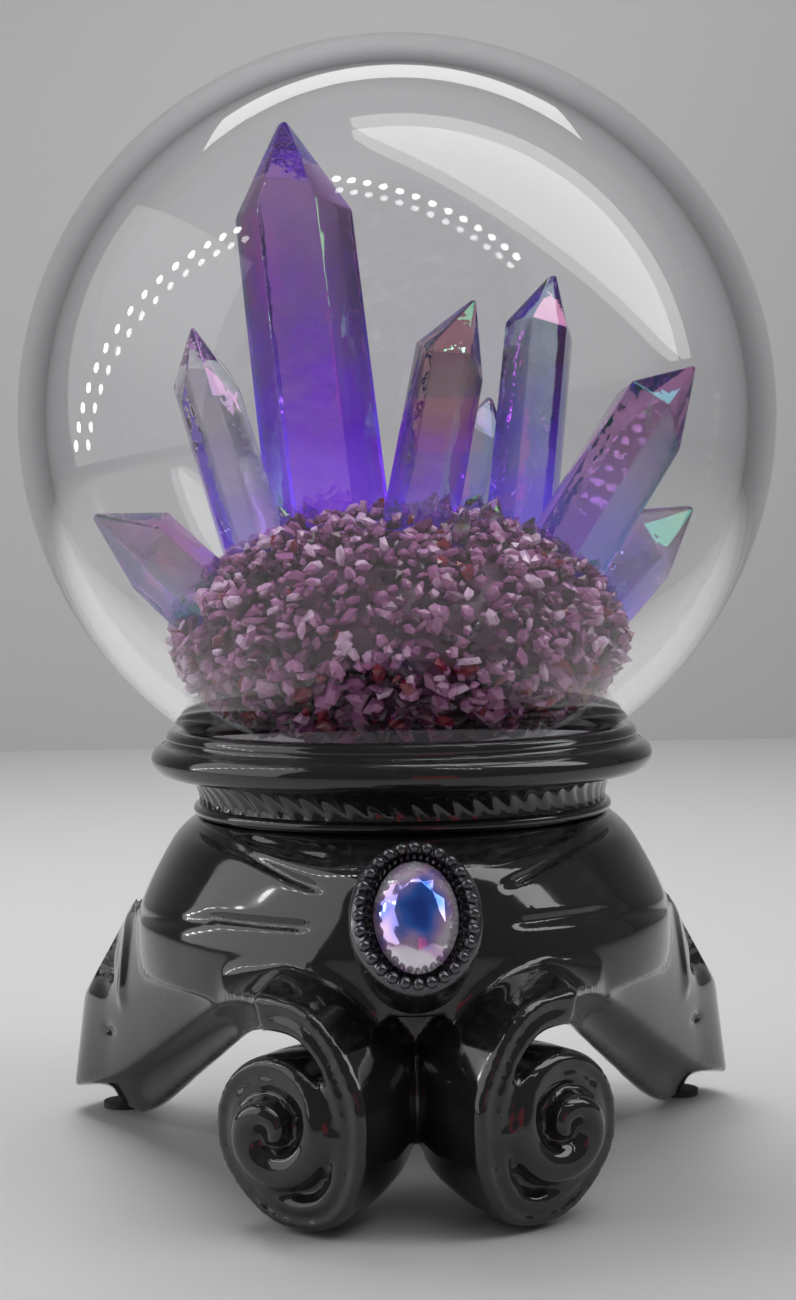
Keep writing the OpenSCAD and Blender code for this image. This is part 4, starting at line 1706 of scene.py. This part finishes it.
@dataclass
class Studio:
    """The table, the backdrop, the lamps and the camera, all in metres and degrees.

    Attributes:
        distance: From the camera to its target.
        target: The point in the middle of the view.
        azimuth: Turn of the camera round the piece.
        elevation: Height of the camera, as an angle.
        roll: Turn of the camera about its own axis.
        lens: Its focal length, in millimetres.
        wall: From the piece to the backdrop.
        room: Width and depth of the table and height of the backdrop.
        table_colour: Colour of the table.
        wall_colour: Colour of the backdrop.
        room_colour: Colour of the light from all round.
        room_light: Strength of that light.
        rows: Start and end direction of each row of small lamps, and how many it has.
        row_distance: From the globe's middle to the small lamps.
        row_lamp: Radius of a small lamp.
        row_glow: Strength of the small lamps.
        hoop_start: Where the bent panel starts, up from the right.
        hoop_end: Where it ends.
        hoop_radius: Its radius.
        hoop_depth: Its width in the middle.
        hoop_edge: Its width at the ends.
        hoop_height: Height of the point that it bends round.
        hoop_glow: Its strength.
        boxes: The large soft lamps.
    """

    distance: float = 0.3
    target: Place = (-0.0003, 0.0, 0.0657)
    azimuth: float = -1.8
    elevation: float = 2.69
    roll: float = -0.8
    lens: float = 61.9
    wall: float = 0.59
    room: Place = (3.0, 2.6, 2.0)
    table_colour: Colour = (0.56, 0.55, 0.545)
    wall_colour: Colour = (0.50, 0.50, 0.51)
    room_colour: Colour = (0.82, 0.85, 0.9)
    room_light: float = 0.16
    rows: tuple[tuple[Place, Place, int], ...] = (
        ((-0.60, -0.34, 0.70), (-0.95, 0.26, -0.05), 15),
        ((-0.23, -0.37, 0.90), (0.48, -0.61, 0.63), 13),
    )
    row_distance: float = 0.45
    row_lamp: float = 0.008
    row_glow: float = 18.0
    hoop_start: float = 12.0
    hoop_end: float = 98.0
    hoop_radius: float = 0.46
    hoop_depth: float = 0.2
    hoop_edge: float = 0.03
    hoop_height: float = 0.09
    hoop_glow: float = 2.4
    boxes: tuple[Softbox, ...] = (
        Softbox("key_left", (-0.50, -0.06, 0.26), 0.56, 0.50, 1.0, seen_through=False),
        Softbox("rear_top", (-0.10, 0.24, 0.50), 0.30, 0.20, 1.4, mirrored=False, seen_through=False),
        Softbox("backdrop_wash", (0.0, 0.22, 0.60), 0.6, 0.2, 1.5, aim=(0.0, 0.59, 0.15), seen_through=False),
        Softbox("red_card", (0.10, -0.46, 0.04), 0.16, 0.16, 0.05, (1.0, 0.02, 0.05), aim=(0.0, 0.0, 0.03)),
    )

    def prop(self, name: str, bm: Mesh, **numbers: object) -> bpy.types.Object:
        """Makes a studio object of a mesh, which is freed.

        Args:
            name: The name of the object and its material.
            bm: The mesh.
            numbers: The material's own sockets, by name.

        Returns:
            The new object.
        """
        mesh = as_mesh(name, bm)
        dressing = Dressing(name)
        dressing.set(**numbers)
        mesh.materials.append(dressing.material)
        return put_in_scene(name, mesh)

    def sheet(self, name: str, width: float, height: float, colour: Colour, rough: float) -> bpy.types.Object:
        """Makes a plain flat sheet in the XY plane."""
        bm = bmesh.new()
        bmesh.ops.create_grid(bm, x_segments=1, y_segments=1, size=0.5)
        bmesh.ops.scale(bm, vec=(width, height, 1), verts=bm.verts)
        return self.prop(name, bm, Base_Color=(*colour, 1.0), Roughness=rough)

    def hoop(self) -> bpy.types.Object:
        """Makes the bent glowing panel, from over the piece down to its right, widest in the middle."""
        bm = bmesh.new()
        bmesh.ops.create_grid(bm, x_segments=32, y_segments=2, size=1.0)
        for vert in bm.verts:
            share = (vert.co.x + 1) / 2
            turn = math.radians(self.hoop_start + (self.hoop_end - self.hoop_start) * share)
            depth = self.hoop_edge + self.hoop_depth * math.sin(math.pi * share) ** 0.7
            place = Vector((math.cos(turn), 0, math.sin(turn))) * self.hoop_radius
            vert.co = place + Vector((0, -depth * (1 - vert.co.y) / 2, self.hoop_height))
        return self.glowing("hoop", bm, self.hoop_glow)

    def glowing(self, name: str, bm: Mesh, glow: float) -> bpy.types.Object:
        """Makes a white glowing object, which the piece mirrors and the camera doesn't see."""
        made = self.prop(name, bm, Emission_Color=(*WHITE, 1.0), Emission_Strength=glow)
        made.visible_camera = False
        return made

    def lamp_rows(self) -> bpy.types.Object:
        """Makes the rows of small round lamps that the globe mirrors as dotted arcs."""
        bm = bmesh.new()
        middle = Vector((0, 0, 0.0964))
        for start, end, count in self.rows:
            for index in range(count):
                way = Vector(start).lerp(Vector(end), index / (count - 1)).normalized()
                turn = UP.rotation_difference(way).to_matrix().to_4x4()
                place = Matrix.Translation(middle + way * self.row_distance) @ turn
                bmesh.ops.create_circle(bm, cap_ends=True, segments=8, radius=self.row_lamp, matrix=place)
        return self.glowing("lamp_rows", bm, self.row_glow)

    def build(self) -> None:
        """Sets up the whole studio."""
        width, depth, height = self.room
        floor = self.sheet("table_top", width, depth, self.table_colour, 0.55)
        floor.location = (0, self.wall - depth / 2, 0)
        wall = self.sheet("backdrop", width, height, self.wall_colour, 0.9)
        wall.rotation_euler = (math.radians(90), 0, 0)
        wall.location = (0, self.wall, height / 2)
        self.hoop()
        self.lamp_rows()
        for box in self.boxes:
            box.build()
        world = bpy.data.worlds.new("room")
        world.use_nodes = True
        light = world.node_tree.nodes["Background"].inputs
        light["Color"].default_value = (*self.room_colour, 1.0)
        light["Strength"].default_value = self.room_light
        bpy.context.scene.world = world
        bpy.context.scene.view_settings.view_transform = "Standard"
        self.camera()

    def camera(self) -> None:
        """Places the camera."""
        data = bpy.data.cameras.new("view")
        data.lens = self.lens
        data.clip_start = 0.01
        holder = bpy.data.objects.new("view", data)
        around, up = math.radians(self.azimuth), math.radians(self.elevation)
        back = Vector((math.sin(around) * math.cos(up), -math.cos(around) * math.cos(up), math.sin(up)))
        look = (-back).to_track_quat("-Z", "Y").to_matrix().to_4x4()
        spot = Matrix.Translation(Vector(self.target) + back * self.distance)
        holder.matrix_world = spot @ look @ Matrix.Rotation(math.radians(self.roll), 4, "Z")
        bpy.context.scene.collection.objects.link(holder)
        bpy.context.scene.camera = holder


# ---------------------------------------------------------------- assembly


def dress_frame(nodes: dict[str, bpy.types.Object], paint: Paintbox, slots: dict[str, str]) -> None:
    """Gives every frame node that is still shown its finish.

    Args:
        nodes: The frame's nodes.
        paint: The finished materials.
        slots: Each node's slot.
    """
    for name, node in nodes.items():
        if node.hide_render:
            continue
        node.data.materials.clear()
        node.data.materials.append(paint.of(slots[name]))
        log.info("%s: dressed in %s", name, slots[name])


def main(nodes: dict[str, bpy.types.Object]) -> None:
    """Builds the studio and every piece.

    Args:
        nodes: The frame's nodes.
    """
    slots = {name: node.data.materials[0].name.split(".")[0] for name, node in nodes.items()}
    Studio().build()
    paint = Paintbox()
    pieces: Iterable[Piece] = (
        Globe().build(), ChipBed().build(), *Cluster().build(),
        *Collar().build(), *Gem().build(), Stand().build(),
    )
    for piece in pieces:
        piece.finish(paint)
    dress_frame(nodes, paint, slots)


if __name__ == "__main__":
    logging.basicConfig(level=logging.INFO, stream=sys.stdout)
    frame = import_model()
    main(frame["nodes"])
